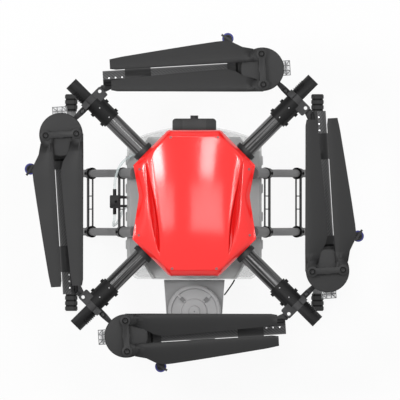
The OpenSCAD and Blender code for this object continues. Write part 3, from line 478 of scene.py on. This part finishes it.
def milky_plastic():
    """Blow-moulded tank, clear at front and rear, with painted light and shade: whitish at front and rear,
    grey between; darkest on the filler neck.
    """
    f = Finish("tank_milky_plastic", 0.42)
    f.shader.inputs["Subsurface Weight"].default_value = 0.15
    f.shader.inputs["Subsurface Radius"].default_value = (0.01, 0.01, 0.01)
    grains = f.use(GRAIN, Cloud_Scale=9.0, Grain_Scale=420.0)
    y = f.axes()["Y"]
    front, rear = (f.eased(y, start * MM, stop * MM) for start, stop in (TANK_FRONT, TANK_REAR))
    neck = f.maths("LESS_THAN", y, TANK_NECK * MM)
    ends = f.maths("MAXIMUM", front, rear)
    thin = f.maths("MULTIPLY", ends, f.maths("SUBTRACT", 1.0, neck))
    f.tree.links.new(f.maths("MULTIPLY_ADD", thin, -0.82, 1.0), f.shader.inputs["Alpha"])
    # Painted light and shade: the tank is painted whitish at front and rear and grey in the middle; the
    # filler neck's grey is its own.
    painted_shade_middle = f.colours(grains["Tone"], (0.44, 0.444, 0.444), (0.56, 0.564, 0.564))
    painted_light_ends = f.colours(grains["Tone"], (0.88, 0.89, 0.89), (0.95, 0.96, 0.96))
    grey = f.colours(grains["Tone"], (0.24, 0.24, 0.243), (0.3, 0.3, 0.303))
    f.base(f.colours(neck, f.colours(ends, painted_shade_middle, painted_light_ends), grey))
    f.gloss(grains["Tone"], 0.36, 0.5)
    f.bump(grains["Height"], 0.25, 0.0001)
    return f.material


def socket_black():
    """Black arm clamps and grey leg sockets, told apart by their place on the frame."""
    f = Finish("frame_socket_black", 0.48)
    at = f.axes()
    beside = f.maths("GREATER_THAN", f.maths("ABSOLUTE", at["X"]), SOCKET_X * MM)
    between = f.maths("LESS_THAN", f.maths("ABSOLUTE", at["Y"]), SOCKET_Y * MM)
    grains = f.use(GRAIN, Cloud_Scale=30.0, Grain_Scale=900.0)
    dark = f.colours(grains["Tone"], (0.012, 0.012, 0.0125), (0.022, 0.022, 0.023))
    grey = f.colours(grains["Tone"], (0.13, 0.13, 0.132), (0.17, 0.17, 0.172))
    f.base(f.colours(f.maths("MULTIPLY", beside, between), dark, grey))
    f.gloss(grains["Tone"], 0.4, 0.55)
    f.bump(grains["Height"], 0.3, 0.00006)
    return f.material


def sleeve_black():
    """Black clamp sleeves whose hinge plates, and the saddle across each tube, are a shade lighter."""
    f = Finish("fold_sleeve_black", 0.5, specular=0.14)
    at = f.axes(f.mapped(turned(45)))
    p, q = at["X"], at["Y"]
    p_size, q_size = f.maths("ABSOLUTE", p), f.maths("ABSOLUTE", q)
    on_p = f.maths("GREATER_THAN", p_size, q_size)
    on_q = f.maths("SUBTRACT", 1.0, on_p)
    across_p = f.maths("MULTIPLY", f.maths("MULTIPLY", q, f.maths("SIGN", p)), on_p)
    across_q = f.maths("MULTIPLY", f.maths("MULTIPLY", p, f.maths("SIGN", q)), on_q)
    across = f.maths("SUBTRACT", across_p, across_q)
    along = f.maths("MAXIMUM", p_size, q_size)
    beyond = f.maths("GREATER_THAN", along, (HINGE_U + PLATE_U[0] - 0.3) * MM)
    before = f.maths("LESS_THAN", along, (HINGE_U + PLATE_U[1] + 0.3) * MM)
    beside = f.maths("LESS_THAN", across, -PLATE_EDGE * MM)
    plate_part = f.maths("MULTIPLY", beside, beyond)
    saddle = f.maths("MULTIPLY", f.maths("LESS_THAN", across, SADDLE_EDGE * MM),
                   f.maths("GREATER_THAN", along, (HINGE_U - SADDLE_BACK) * MM))
    plated = f.maths("MULTIPLY", f.maths("MAXIMUM", plate_part, saddle), before)
    grains = f.use(GRAIN, Cloud_Scale=30.0, Grain_Scale=800.0)
    tube = f.colours(grains["Tone"], (0.007, 0.007, 0.0072), (0.013, 0.013, 0.0134))
    plate = f.colours(grains["Tone"], (0.038, 0.038, 0.039), (0.052, 0.052, 0.053))
    f.base(f.colours(plated, tube, plate))
    f.gloss(grains["Tone"], 0.4, 0.58)
    f.bump(grains["Height"], 0.3, 0.00006)
    return f.material


def ribbed_rubber():
    """Skid caps: dark grey on the ribs, with painted shade, near black, in the grooves between them."""
    f = Finish("skid_rubber", 0.65, specular=0.15)
    from_end = f.maths("SUBTRACT", SKID_HL * MM, f.maths("ABSOLUTE", f.axes()["Y"]))
    beat = f.maths("FLOORED_MODULO", from_end, CAP_BEAT * MM)
    rib = f.maths("MULTIPLY", f.maths("GREATER_THAN", beat, CAP_RIB[0] * MM),
                  f.maths("LESS_THAN", beat, CAP_RIB[1] * MM))
    grains = f.use(GRAIN, Cloud_Scale=40.0, Grain_Scale=800.0)
    # Painted shade: the grooves between the ribs are painted near black.
    groove_painted_shade = f.colours(grains["Tone"], (0.003, 0.003, 0.003), (0.006, 0.006, 0.006))
    crown = f.colours(grains["Tone"], (0.03, 0.03, 0.03), (0.05, 0.05, 0.05))
    f.base(f.colours(rib, groove_painted_shade, crown))
    f.gloss(grains["Tone"], 0.55, 0.75)
    f.bump(grains["Height"], 0.35, 0.00008)
    return f.material


def clear_plastic(name, rgb, rough, alpha):
    """Thin clear moulding: mostly see-through, with its gloss."""
    f = Finish(name, rough)
    f.shader.inputs["Alpha"].default_value = alpha
    grains = f.use(GRAIN, Cloud_Scale=30.0, Grain_Scale=500.0)
    f.base(f.colours(grains["Tone"], shade(rgb, 0.9), rgb))
    f.bump(grains["Height"], 0.1, 0.00004)
    return f.material


def two_tone(name, low_rgb, high_rgb, axis, limit, rough):
    """Moulded part that has another colour past a distance along one axis, on either side of the origin."""
    f = Finish(name, rough)
    past = f.maths("GREATER_THAN", f.maths("ABSOLUTE", f.axes()[axis]), limit * MM)
    grains = f.use(GRAIN, Cloud_Scale=40.0, Grain_Scale=1200.0)
    low = f.colours(grains["Tone"], shade(low_rgb, 0.85), shade(low_rgb, 1.15))
    high = f.colours(grains["Tone"], shade(high_rgb, 0.85), shade(high_rgb, 1.15))
    f.base(f.colours(past, low, high))
    f.gloss(grains["Tone"], rough - 0.08, rough + 0.08)
    f.bump(grains["Height"], 0.3, 0.00006)
    return f.material


def dress(material, *names):
    for name in names:
        slots = nodes[name].data.materials
        slots.clear()
        slots.append(material)


def each(part):
    return [f"{part}_{arm}" for arm in ARMS]


STEEL = drawn_metal("bright_steel", (0.72, 0.72, 0.73), 0.28)
DARK_STEEL = drawn_metal("blackened_steel", (0.10, 0.10, 0.105), 0.35)
SCREW_GREY = moulded("small_screw_grey", (0.42, 0.42, 0.425), 0.45, 1500, 0.1)
HOOD_SCREW = moulded("hood_screw_dull_red", (0.34, 0.11, 0.11), 0.5, 1500, 0.1)
COPPER = drawn_metal("winding_copper", (0.55, 0.23, 0.09), 0.32)
MATT_BLACK = moulded("joint_matt_black", (0.009, 0.009, 0.0095), 0.48, 700, 0.25, specular=0.25)
# Deep black for screws and rings, and for the band of painted shade at each motor seat.
DEEP_BLACK = moulded("deep_black_and_gap_shade", (0.003, 0.003, 0.003), 0.75, 700, 0.3, specular=0.15)
LEG_GREY = two_tone("leg_anodised_grey", (0.09, 0.09, 0.091), (0.17, 0.17, 0.172), "X", LEG_HEAD_X, 0.45)
BRACE_GREY = moulded("brace_dark_grey", (0.048, 0.048, 0.049), 0.45, 1200, 0.15)
BLADE = moulded("blade_nylon_black", (0.018, 0.018, 0.0184), 0.5, 1300, 0.1, 0.00004, specular=0.2)
MOTOR = moulded("motor_matt_grey", (0.022, 0.022, 0.0224), 0.5, 1500, 0.1, specular=0.2)
HUB = moulded("hub_plate_grey", (0.02, 0.02, 0.0204), 0.45, 1500, 0.12, specular=0.2)
SEAT = moulded("motor_seat_grey", (0.024, 0.024, 0.0244), 0.5, 1100, 0.12, specular=0.2)
# Painted light and shade: the camera's middle is painted a lighter black and its sides past CAMERA_MIDDLE a
# darker black.
CAMERA_BLACK_PAINTED_SHADE = two_tone("camera_black", (0.02, 0.02, 0.0204), (0.009, 0.009, 0.0092), "X",
                        CAMERA_MIDDLE, 0.45)
# Painted light: the tray's top is painted pale against the shadow of the hood above it; its walls past
# TRAY_WALL_X keep a dark grey.
TRAY_PAINTED_LIGHT = two_tone("tray_grey", (0.7, 0.702, 0.702), (0.13, 0.13, 0.132), "X", TRAY_WALL_X, 0.5)
LID = moulded("lid_grey", (0.34, 0.34, 0.344), 0.45, 700, 0.1)
GRIP = moulded("lid_grip_grey", (0.17, 0.17, 0.172), 0.5, 900, 0.12)
PIN_GREY = moulded("hinge_pin_grey", (0.045, 0.045, 0.046), 0.45, 1200, 0.12, specular=0.2)
LEVER = moulded("lever_grey", (0.026, 0.026, 0.027), 0.45, 900, 0.15)
LAMP = clear_plastic("lamp_clear", (0.9, 0.91, 0.92), 0.12, 0.12)
GLASS = clear_plastic("lens_glass", (0.5, 0.53, 0.56), 0.05, 0.45)
LED = moulded("led_board_white", (0.82, 0.82, 0.83), 0.4, 900, 0.1)
CAGE = moulded("lamp_cage_grey", (0.13, 0.13, 0.133), 0.4, 1200, 0.15)
LUG = moulded("lever_lug_grey", (0.034, 0.034, 0.035), 0.45, 1000, 0.12, specular=0.2)
HOSE = clear_plastic("hose_clear", (0.86, 0.96, 0.96), 0.2, 0.4)
CABLE = moulded("cable_black", (0.004, 0.004, 0.004), 0.6, 900, 0.2, specular=0.12)

dress(lacquer(), "hood")
dress(flat_carbon(), "upper_deck")
dress(TRAY_PAINTED_LIGHT, "lower_deck")
dress(socket_black(), "frame_sockets")
dress(sleeve_black(), "fold_sleeves")
dress(PIN_GREY, "hinge_pins")
dress(MATT_BLACK, "pump", "flow_meter", "flight_controller", "battery", *each("outer_knuckle"))
dress(stub_carbon(), "inner_tubes")
dress(milky_plastic(), "tank")
dress(LID, "tank_lid")
dress(LEG_GREY, "legs", "skids")
dress(BRACE_GREY, "leg_braces")
dress(ribbed_rubber(), "skid_caps")
dress(CAMERA_BLACK_PAINTED_SHADE, "front_camera")
dress(HOSE, "spray_hose")
dress(CABLE, "level_cable")
dress(SEAT, *each("motor_seat"))
dress(LAMP, *each("lamp"))
dress(MOTOR, *each("motor_bell"))
dress(HUB, *each("prop_hub"))
dress(BLADE, *each("blade_outer"), *each("blade_inner"))
dress(LEVER, *each("lock_lever"))
for i, arm in enumerate(ARMS):
    dress(tube_carbon(i), f"outer_tube_{arm}")
    dress(two_tone(f"nozzle_blue_{arm}", (0.03, 0.034, 0.2), (0.02, 0.02, 0.021), "Z",
                   arm_height(i) + NOZZLE_CAP_UP, 0.45), f"nozzle_{arm}")


# ---- Modelling helpers ----

def edit_mode(on):
    bpy.ops.object.mode_set(mode="EDIT" if on else "OBJECT")


def none_selected():
    bpy.ops.object.select_all(action="DESELECT")


def take(obj):
    """Leaves edit mode, selects one object alone and makes it the active one."""
    if obj.mode == "EDIT":
        edit_mode(False)
    none_selected()
    obj.select_set(True)
    bpy.context.view_layer.objects.active = obj


def pick_faces(obj, wanted):
    """Selects, in edit mode, the faces whose centre and normal pass the test."""
    edit_mode(False)
    for polygon in obj.data.polygons:
        polygon.select = bool(wanted(polygon.center, polygon.normal))
    for edge in obj.data.edges:
        edge.select = False
    for vertex in obj.data.vertices:
        vertex.select = False
    edit_mode(True)
    bpy.ops.mesh.select_mode(type="FACE")


def settle(obj, name, material, body):
    """Writes the place into the mesh, names the piece and lets it ride."""
    take(obj)
    bpy.ops.object.transform_apply(location=True, rotation=True, scale=True)
    obj.name = name
    obj.data.name = name
    obj.data.materials.clear()
    obj.data.materials.append(material)
    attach(obj, body)


def copies(pattern, places, material):
    """Puts a copy of a modelled pattern at each (name, matrix, body), each with its own mesh."""
    for name, matrix, body in places:
        piece = pattern.copy()
        piece.data = pattern.data.copy()
        bpy.context.scene.collection.objects.link(piece)
        piece.matrix_world = matrix
        settle(piece, name, material, body)
    bpy.data.objects.remove(pattern)


def lifted(node):
    """A merged copy of a solid, free of the frame, to be worked on."""
    piece = nodes[node].copy()
    piece.data = nodes[node].data.copy()
    piece.parent = None
    for key in list(piece.keys()):
        del piece[key]
    bpy.context.scene.collection.objects.link(piece)
    take(piece)
    edit_mode(True)
    bpy.ops.mesh.select_all(action="SELECT")
    bpy.ops.mesh.remove_doubles(threshold=0.00002)
    return piece


def stand_for(piece, node, name, angle, body):
    """Smooths a worked copy, settles it and lets it take its solid's place."""
    take(piece)
    bpy.ops.object.shade_smooth_by_angle(angle=math.radians(angle))
    settle(piece, name, nodes[node].data.materials[0], body)
    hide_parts(node)
    return piece


def apply_new(piece, kind, **values):
    """Adds a modifier to the active piece and applies it."""
    modifier = piece.modifiers.new("work", kind)
    for key, value in values.items():
        setattr(modifier, key, value)
    bpy.ops.object.modifier_apply(modifier="work")


def rounded_off(node, name, width, body):
    """A solid whose sharp edges are broken, as on a moulded or machined part."""
    piece = lifted(node)
    bpy.ops.mesh.dissolve_limited(angle_limit=math.radians(0.6))
    edit_mode(False)
    apply_new(piece, "BEVEL", width=width * MM, segments=2, limit_method="ANGLE",
              angle_limit=math.radians(42), use_clamp_overlap=True, miter_outer="MITER_ARC")
    stand_for(piece, node, name, 40, body)


# ---- Hood and blades ----

def make_hood():
    """The hood's grid as quads, creased along its ridges and rim, smoothed, with its edges broken."""
    shell = lifted("hood")
    bpy.ops.mesh.tris_convert_to_quads(face_threshold=math.radians(40),
                                       shape_threshold=math.radians(100))
    bpy.ops.mesh.select_mode(type="EDGE")
    bpy.ops.mesh.select_all(action="DESELECT")
    bpy.ops.mesh.edges_select_sharp(sharpness=math.radians(24))
    bpy.ops.transform.edge_crease(value=1.0)
    edit_mode(False)
    apply_new(shell, "SUBSURF", levels=2, render_levels=2)
    apply_new(shell, "BEVEL", width=1.2 * MM, segments=2, limit_method="ANGLE",
              angle_limit=math.radians(50))
    return stand_for(shell, "hood", "hood_shell", 50, "body")


def make_blades():
    for arm in ARMS:
        for side in ("outer", "inner"):
            node = f"blade_{side}_{arm}"
            stand_for(lifted(node), node, f"blade_skin_{side}_{arm}", 30, node)


hood_shell = make_hood()
make_blades()


# ---- Edges broken on the hard parts ----

ARM_EDGES = (("prop_hub", 0.7, "rotor", "hub_grey"), ("motor_bell", 0.6, "rotor", "motor_grey"),
             ("motor_seat", 0.8, "arm", "seat_grey"), ("outer_knuckle", 0.7, "arm", "joint_black"),
             ("lock_lever", 0.8, "lock_lever", "lever_grey"))
for node, width, slot in (("fold_sleeves", 0.8, "joint_black"), ("front_camera", 1.2, "camera_black"),
                          ("lower_deck", 0.6, "tray_grey"), ("flow_meter", 0.8, "joint_black")):
    rounded_off(node, f"{node}_edged", width, "body")
rounded_off("tank_lid", "tank_lid_edged", 0.8, "tank_lid")
for arm in ARMS:
    for part, width, body, slot in ARM_EDGES:
        rounded_off(f"{part}_{arm}", f"{part}_edged_{arm}", width, f"{body}_{arm}")


# ---- Patterns for the small pieces, drawn at the origin with Z along their axis ----

def upright(tilt):
    return Matrix.Rotation(math.radians(tilt), 4, "Y")


def button_screw(radius, height, socket):
    """Round head with a softened rim and a socket in it."""
    none_selected()
    bpy.ops.mesh.primitive_cylinder_add(vertices=24, radius=radius * MM, depth=height * MM,
                                        location=(0, 0, height * MM / 2))
    screw = bpy.context.object
    bpy.ops.object.transform_apply(location=True)
    pick_faces(screw, lambda centre, normal: normal.z > 0.9)
    bpy.ops.mesh.inset(thickness=(radius - socket) * MM)
    bpy.ops.mesh.extrude_region_move(TRANSFORM_OT_translate={"value": (0, 0, -0.6 * height * MM)})
    edit_mode(False)
    apply_new(screw, "BEVEL", width=0.3 * height * MM, segments=2, limit_method="ANGLE")
    bpy.ops.object.shade_smooth_by_angle(angle=math.radians(35))
    return screw


def band(inner, outer, low, high, sides=64, soft=0.0):
    """A ring between two radii and two heights."""
    none_selected()
    bpy.ops.mesh.primitive_cylinder_add(vertices=sides, radius=outer * MM, depth=(high - low) * MM,
                                        location=(0, 0, (low + high) / 2 * MM))
    ring = bpy.context.object
    bpy.ops.object.transform_apply(location=True)
    pick_faces(ring, lambda centre, normal: abs(normal.z) > 0.9)
    bpy.ops.mesh.inset(thickness=(outer - inner) * MM)
    bpy.ops.mesh.bridge_edge_loops()
    edit_mode(False)
    if soft:
        apply_new(ring, "BEVEL", width=soft * MM, segments=2, limit_method="ANGLE")
    bpy.ops.object.shade_smooth_by_angle(angle=math.radians(35))
    return ring


def dome(radius, bulge):
    """A lens: half a flattened ball, closed at its back."""
    none_selected()
    bpy.ops.mesh.primitive_uv_sphere_add(segments=40, ring_count=20, radius=radius * MM)
    lens = bpy.context.object
    lens.scale = (1, 1, bulge / radius)
    bpy.ops.object.transform_apply(scale=True)
    edit_mode(True)
    bpy.ops.mesh.select_all(action="SELECT")
    bpy.ops.mesh.bisect(plane_co=(0, 0, 0), plane_no=(0, 0, 1), use_fill=True, clear_inner=True)
    edit_mode(False)
    bpy.ops.object.shade_smooth_by_angle(angle=math.radians(40))
    return lens


# ---- Screws, rivets and rings ----

def on_hood(x, y):
    """A place on the hood with Z along its surface's normal."""
    hit, spot, normal, _ = hood_shell.ray_cast(Vector((x * MM, y * MM, 0.6)), Vector((0, 0, -1)))
    return Matrix.Translation(spot) @ normal.to_track_quat("Z", "Y").to_matrix().to_4x4()


def leg_place(side, y, s):
    """A place down a leg with Z along it."""
    along = Vector((SKID_X - LEG_IN, 0, CAP_D / 2 - LEG_TOP)).normalized()
    tilt = math.degrees(math.atan2(along.x, along.z))
    return moved(side * (LEG_IN + s * along.x), y, LEG_TOP + s * along.z) @ upright(side * tilt)


LEGS = [(side, y) for side in (-1, 1) for y in (-LEG_Y, LEG_Y)]
EACH_ARM = list(enumerate(ARMS))
HUB_TOP = BELL_Z + BELL_H + 13.6
HOOD_SCREW_IN = 0.895       # screws sit at this share of the way out to a corner
BOLT_OFF = 35
SLEEVE_SCREW_U = (275, 305)
RIVET_X, RIVET_SIDE = (23, 38, 53), 1.6
# Distance behind the hub of the black band of painted shade at the motor seat's gap
SEAT_GAP_SHADE_BACK = 57.5
SUNK = 0.25                 # how deep a screw head sits in a round surface


def leg_name(side, y):
    return f"{'l' if side < 0 else 'r'}_{'rear' if y < 0 else 'front'}"


def hood_screw_at(k):
    x, y = HOOD_CORNERS[k]
    return on_hood(x * HOOD_SCREW_IN, y * HOOD_SCREW_IN) @ moved(0, 0, -0.3)


def clamp_screw_at(side, y, s):
    return leg_place(side, y, s) @ upright(-90 * side) @ moved(0, 0, LEG_D / 2 + 2.6)


copies(button_screw(3.1, 1.5, 1.5),
       [(f"hood_screw_{k}", hood_screw_at(k), "body") for k in (0, 1, 3, 4, 5, 6, 8, 9)],
       HOOD_SCREW)
copies(button_screw(1.5, 1.0, 0.6),
       [(f"sleeve_screw_{arm}_{u}", at_arm(i) @ moved(u, 0, SLEEVE_R - SUNK), "body")
        for i, arm in EACH_ARM for u in SLEEVE_SCREW_U], SCREW_GREY)
copies(button_screw(1.9, 0.55, 0.7),
       [(f"tube_rivet_{arm}_{x}", at_fold(i) @ moved(x, HINGE_OFF + RIVET_SIDE, ARM_R - SUNK), f"arm_{arm}")
        for i, arm in EACH_ARM for x in RIVET_X], STEEL)
copies(button_screw(3.4, 2.0, 1.5),
       [(f"clamp_screw_{leg_name(side, y)}_{s}", clamp_screw_at(side, y, s), "body")
        for side, y in LEGS for s in BRACE_AT], DEEP_BLACK)
copies(band(LEG_D / 2 + 0.4, LEG_D / 2 + 4.5, -2.2, 2.2, soft=0.8),
       [(f"leg_ring_{leg_name(side, y)}_{s}", leg_place(side, y, s - 10), "body")
        for side, y in LEGS for s in BRACE_AT], DEEP_BLACK)
# Painted shade: a thin black band in the groove between each motor seat and its collar, where the gap lies
# in shadow.
copies(band(20.15, 20.9, -2.3, 2.3),
       [(f"seat_gap_shade_{arm}", at_hub(i) @ moved(-SEAT_GAP_SHADE_BACK, 0, 0) @ upright(90), f"arm_{arm}")
        for i, arm in EACH_ARM], DEEP_BLACK)
copies(band(4.3, 6.85, 0, 0.35, 48),
       [(f"bolt_ring_{arm}_{side}", at_hub(i) @ moved(0, y, HUB_TOP + 3.0), f"rotor_{arm}")
        for i, arm in EACH_ARM for side, y in (("outer", BOLT_OFF), ("inner", -BOLT_OFF))],
       DEEP_BLACK)
copies(band(STATOR_R + 0.1, STATOR_R + 0.8, 0, 19),
       [(f"winding_{arm}", at_hub(i) @ moved(0, 0, BELL_Z + 10), f"arm_{arm}")
        for i, arm in EACH_ARM], COPPER)
copies(button_screw(9.6, 0.9, 6.0),
       [(f"nozzle_disc_{arm}", at_hub(i) @ moved(-NOZZLE_BACK, NOZZLE_SIDE, 7.9), f"arm_{arm}")
        for i, arm in EACH_ARM], MATT_BLACK)


def grip_pad(width, length, height):
    """Soft-edged pad with a shallow dished top."""
    none_selected()
    bpy.ops.mesh.primitive_cube_add(size=1, location=(0, 0, height * MM / 2))
    pad = bpy.context.object
    pad.scale = (length * MM, width * MM, height * MM)
    bpy.ops.object.transform_apply(location=True, scale=True)
    pick_faces(pad, lambda centre, normal: normal.z > 0.9)
    bpy.ops.mesh.inset(thickness=1.6 * MM)
    bpy.ops.transform.translate(value=(0, 0, -0.8 * MM))
    edit_mode(False)
    apply_new(pad, "BEVEL", width=0.5 * MM, segments=2, limit_method="ANGLE")
    bpy.ops.object.shade_smooth_by_angle(angle=math.radians(35))
    return pad


copies(grip_pad(8.6, 10.5, 4.8),
       [(f"lid_grip_{a}", moved(0, -FILL_Y, LID_TOP) @ turned(a) @ moved(LID_PAD_R, 0, 0), "tank_lid")
        for a in (45, 135, 225, 315)], GRIP)
copies(grip_pad(15, 15, 12),
       [(f"lever_lug_{arm}", at_arm(i) @ moved(HINGE_U, 18.5, 11.5), "body") for i, arm in EACH_ARM],
       LUG)
copies(button_screw(3.2, 0.8, 1.4),
       [("meter_plug", moved(PORT_X + 3, 2, PORT_Z + 15.7), "body")], DEEP_BLACK)
copies(button_screw(1.5, 0.6, 0.6),
       [("lid_centre_screw", moved(0, -FILL_Y, 289.9), "tank_lid")], DARK_STEEL)


# ---- Camera lens, headlights and arm lamps ----

FACING = Matrix.Rotation(math.radians(-90), 4, "X")
HEADLIGHTS = (("left", -HEADLIGHT_X), ("right", HEADLIGHT_X))
copies(dome(6.2, 3.0), [("camera_lens", moved(0, 194.2, LENS_Z) @ FACING, "body")], GLASS)
copies(dome(9.4, 3.6),
       [(f"headlight_{side}", moved(x, 187.2, LENS_Z) @ FACING, "body") for side, x in HEADLIGHTS],
       GLASS)
copies(band(9.5, 9.9, 0.2, 1.2, soft=0.2),
       [(f"headlight_ring_{side}", moved(x, 187.0, LENS_Z) @ FACING, "body") for side, x in HEADLIGHTS],
       STEEL)


def lamp_shell(arm):
    """The lamp's clear cover, hollow, standing for the solid."""
    node = f"lamp_{arm}"
    cover = lifted(node)
    edit_mode(False)
    apply_new(cover, "SOLIDIFY", thickness=0.0012, offset=-1.0)
    stand_for(cover, node, f"lamp_cover_{arm}", 30, f"arm_{arm}")


# Board, light blocks and clips of a lamp: place along and across, then length, width and height
LAMP_BLOCKS = ((52, 0, 15, 27, 1.6), (56.5, 0, 2, 10, 5), (51, 0, 6, 6, 4), (54, 10, 7, 4, 4),
               (54, -10, 7, 4, 4), (59, 12, 3, 3, 3), (59, -12, 3, 3, 3))


def lamp_insides():
    """Board with its light blocks and clips, as one piece beside the origin."""
    parts = []
    for x, y, w, l, h in LAMP_BLOCKS:
        none_selected()
        bpy.ops.mesh.primitive_cube_add(size=1, location=(x * MM, y * MM, h / 2 * MM))
        block = bpy.context.object
        block.scale = (w * MM, l * MM, h * MM)
        bpy.ops.object.transform_apply(location=True, scale=True)
        apply_new(block, "BEVEL", width=0.4 * MM, segments=2)
        parts.append(block)
    none_selected()
    for block in parts:
        block.select_set(True)
    bpy.context.view_layer.objects.active = parts[0]
    bpy.ops.object.join()
    bpy.ops.object.shade_smooth_by_angle(angle=math.radians(35))
    return parts[0]


def lamp_cage():
    """Grey frame of two by three cells round the lamp, with braced outer corners."""
    length, width = LAMP_REACH - 44.0, LAMP_W - 1.0
    none_selected()
    bpy.ops.mesh.primitive_grid_add(x_subdivisions=2, y_subdivisions=3, size=1,
                                    location=((LAMP_REACH - length / 2 - 0.5) * MM, 0, (LAMP_LOW + 2) * MM))
    cage = bpy.context.object
    cage.scale = (length * MM, width * MM, 1)
    bpy.ops.object.transform_apply(location=True, scale=True)
    edge = (LAMP_REACH - length / 2) * MM
    pick_faces(cage, lambda centre, normal: centre.x > edge and abs(centre.y) > width / 5 * MM)
    bpy.ops.mesh.quads_convert_to_tris(quad_method="FIXED")
    bpy.ops.mesh.select_all(action="SELECT")
    rise = (LAMP_TOP - LAMP_LOW - 3) * MM
    bpy.ops.mesh.extrude_region_move(TRANSFORM_OT_translate={"value": (0, 0, rise)})
    edit_mode(False)
    apply_new(cage, "WIREFRAME", thickness=1.9 * MM, use_even_offset=True, use_boundary=True)
    bpy.ops.object.shade_smooth_by_angle(angle=math.radians(35))
    return cage


for arm in ARMS:
    lamp_shell(arm)
copies(lamp_cage(),
       [(f"lamp_cage_{arm}", at_hub(i), f"arm_{arm}") for i, arm in EACH_ARM], CAGE)
copies(lamp_insides(),
       [(f"lamp_board_{arm}", at_hub(i) @ moved(0, 0, -2), f"arm_{arm}") for i, arm in EACH_ARM],
       LED)


# ---- Hoses and cable ----

def curve_through(points, steps):
    """Points of a smooth curve through the route's own points."""
    made = []
    last = len(points) - 1
    for k in range(last):
        a, b, c, d = (Vector(points[n]) for n in (max(k - 1, 0), k, k + 1, min(k + 2, last)))
        for step in range(steps):
            t = step / steps
            made.append(0.5 * (2 * b + (c - a) * t + (2 * a - 5 * b + 4 * c - d) * t * t
                               + (3 * b - a - 3 * c + d) * t ** 3))
    return made + [Vector(points[last])]


def make_cord(name, route, radius, material, node):
    """A round cord on a route given in millimetres, from one fitting to the other."""
    path = [p * MM for p in curve_through(route, 8)]
    data = bpy.data.curves.new(name, "CURVE")
    data.dimensions = "3D"
    data.bevel_depth = radius * MM
    data.bevel_resolution = 6
    data.use_fill_caps = True
    line = data.splines.new("POLY")
    line.points.add(len(path) - 1)
    for point, place in zip(line.points, path):
        point.co = (*place, 1)
    line.use_smooth = True
    piece = bpy.data.objects.new(name, data)
    bpy.context.scene.collection.objects.link(piece)
    data.materials.append(material)
    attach(piece, "body")
    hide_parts(node)


HOSE_R, LEAD_R = 3.0, 1.6
TANK_ROUTE = [(PORT_X, 31.4, PORT_Z), (PORT_X + 1, 48, PORT_Z + 1), (PORT_X + 4, 64, PORT_Z + 4),
              (PORT_X + 10, 80, PORT_Z + 4), (PORT_X + 20, 94, PORT_Z + 2),
              (PORT_X + 33, 103, PORT_Z - 2), (PORT_X + 43, 109, PORT_Z - 6),
              (PORT_X + 46, 111, 283), (PORT_X + 46, 111, 280.5)]
PUMP_ROUTE = [(PORT_X, -27.4, PORT_Z), (PORT_X - 1, -40, PORT_Z - 2), (PORT_X - 3, -49, PORT_Z - 12),
              (PORT_X - 2, -53, PORT_Z - 32), (PORT_X + 4, -48, 225), (PORT_X + 12, -34, 180),
              (PORT_X + 20, -16, 135), (PORT_X + 44, 2, 105), (-98, 14, 93), (-50.5, 16, 92)]
LEAD_ROUTE = [(92, -176.2, 286), (88, -184, 284), (80, -196, 270), (73, -206, 254), (69, -211, 246)]
make_cord("hose_to_tank", TANK_ROUTE, HOSE_R, HOSE, "spray_hose")
make_cord("hose_to_pump", PUMP_ROUTE, HOSE_R, HOSE, "spray_hose")
make_cord("level_lead", LEAD_ROUTE, LEAD_R, CABLE, "level_cable")


bpy.ops.object.select_all(action="DESELECT")
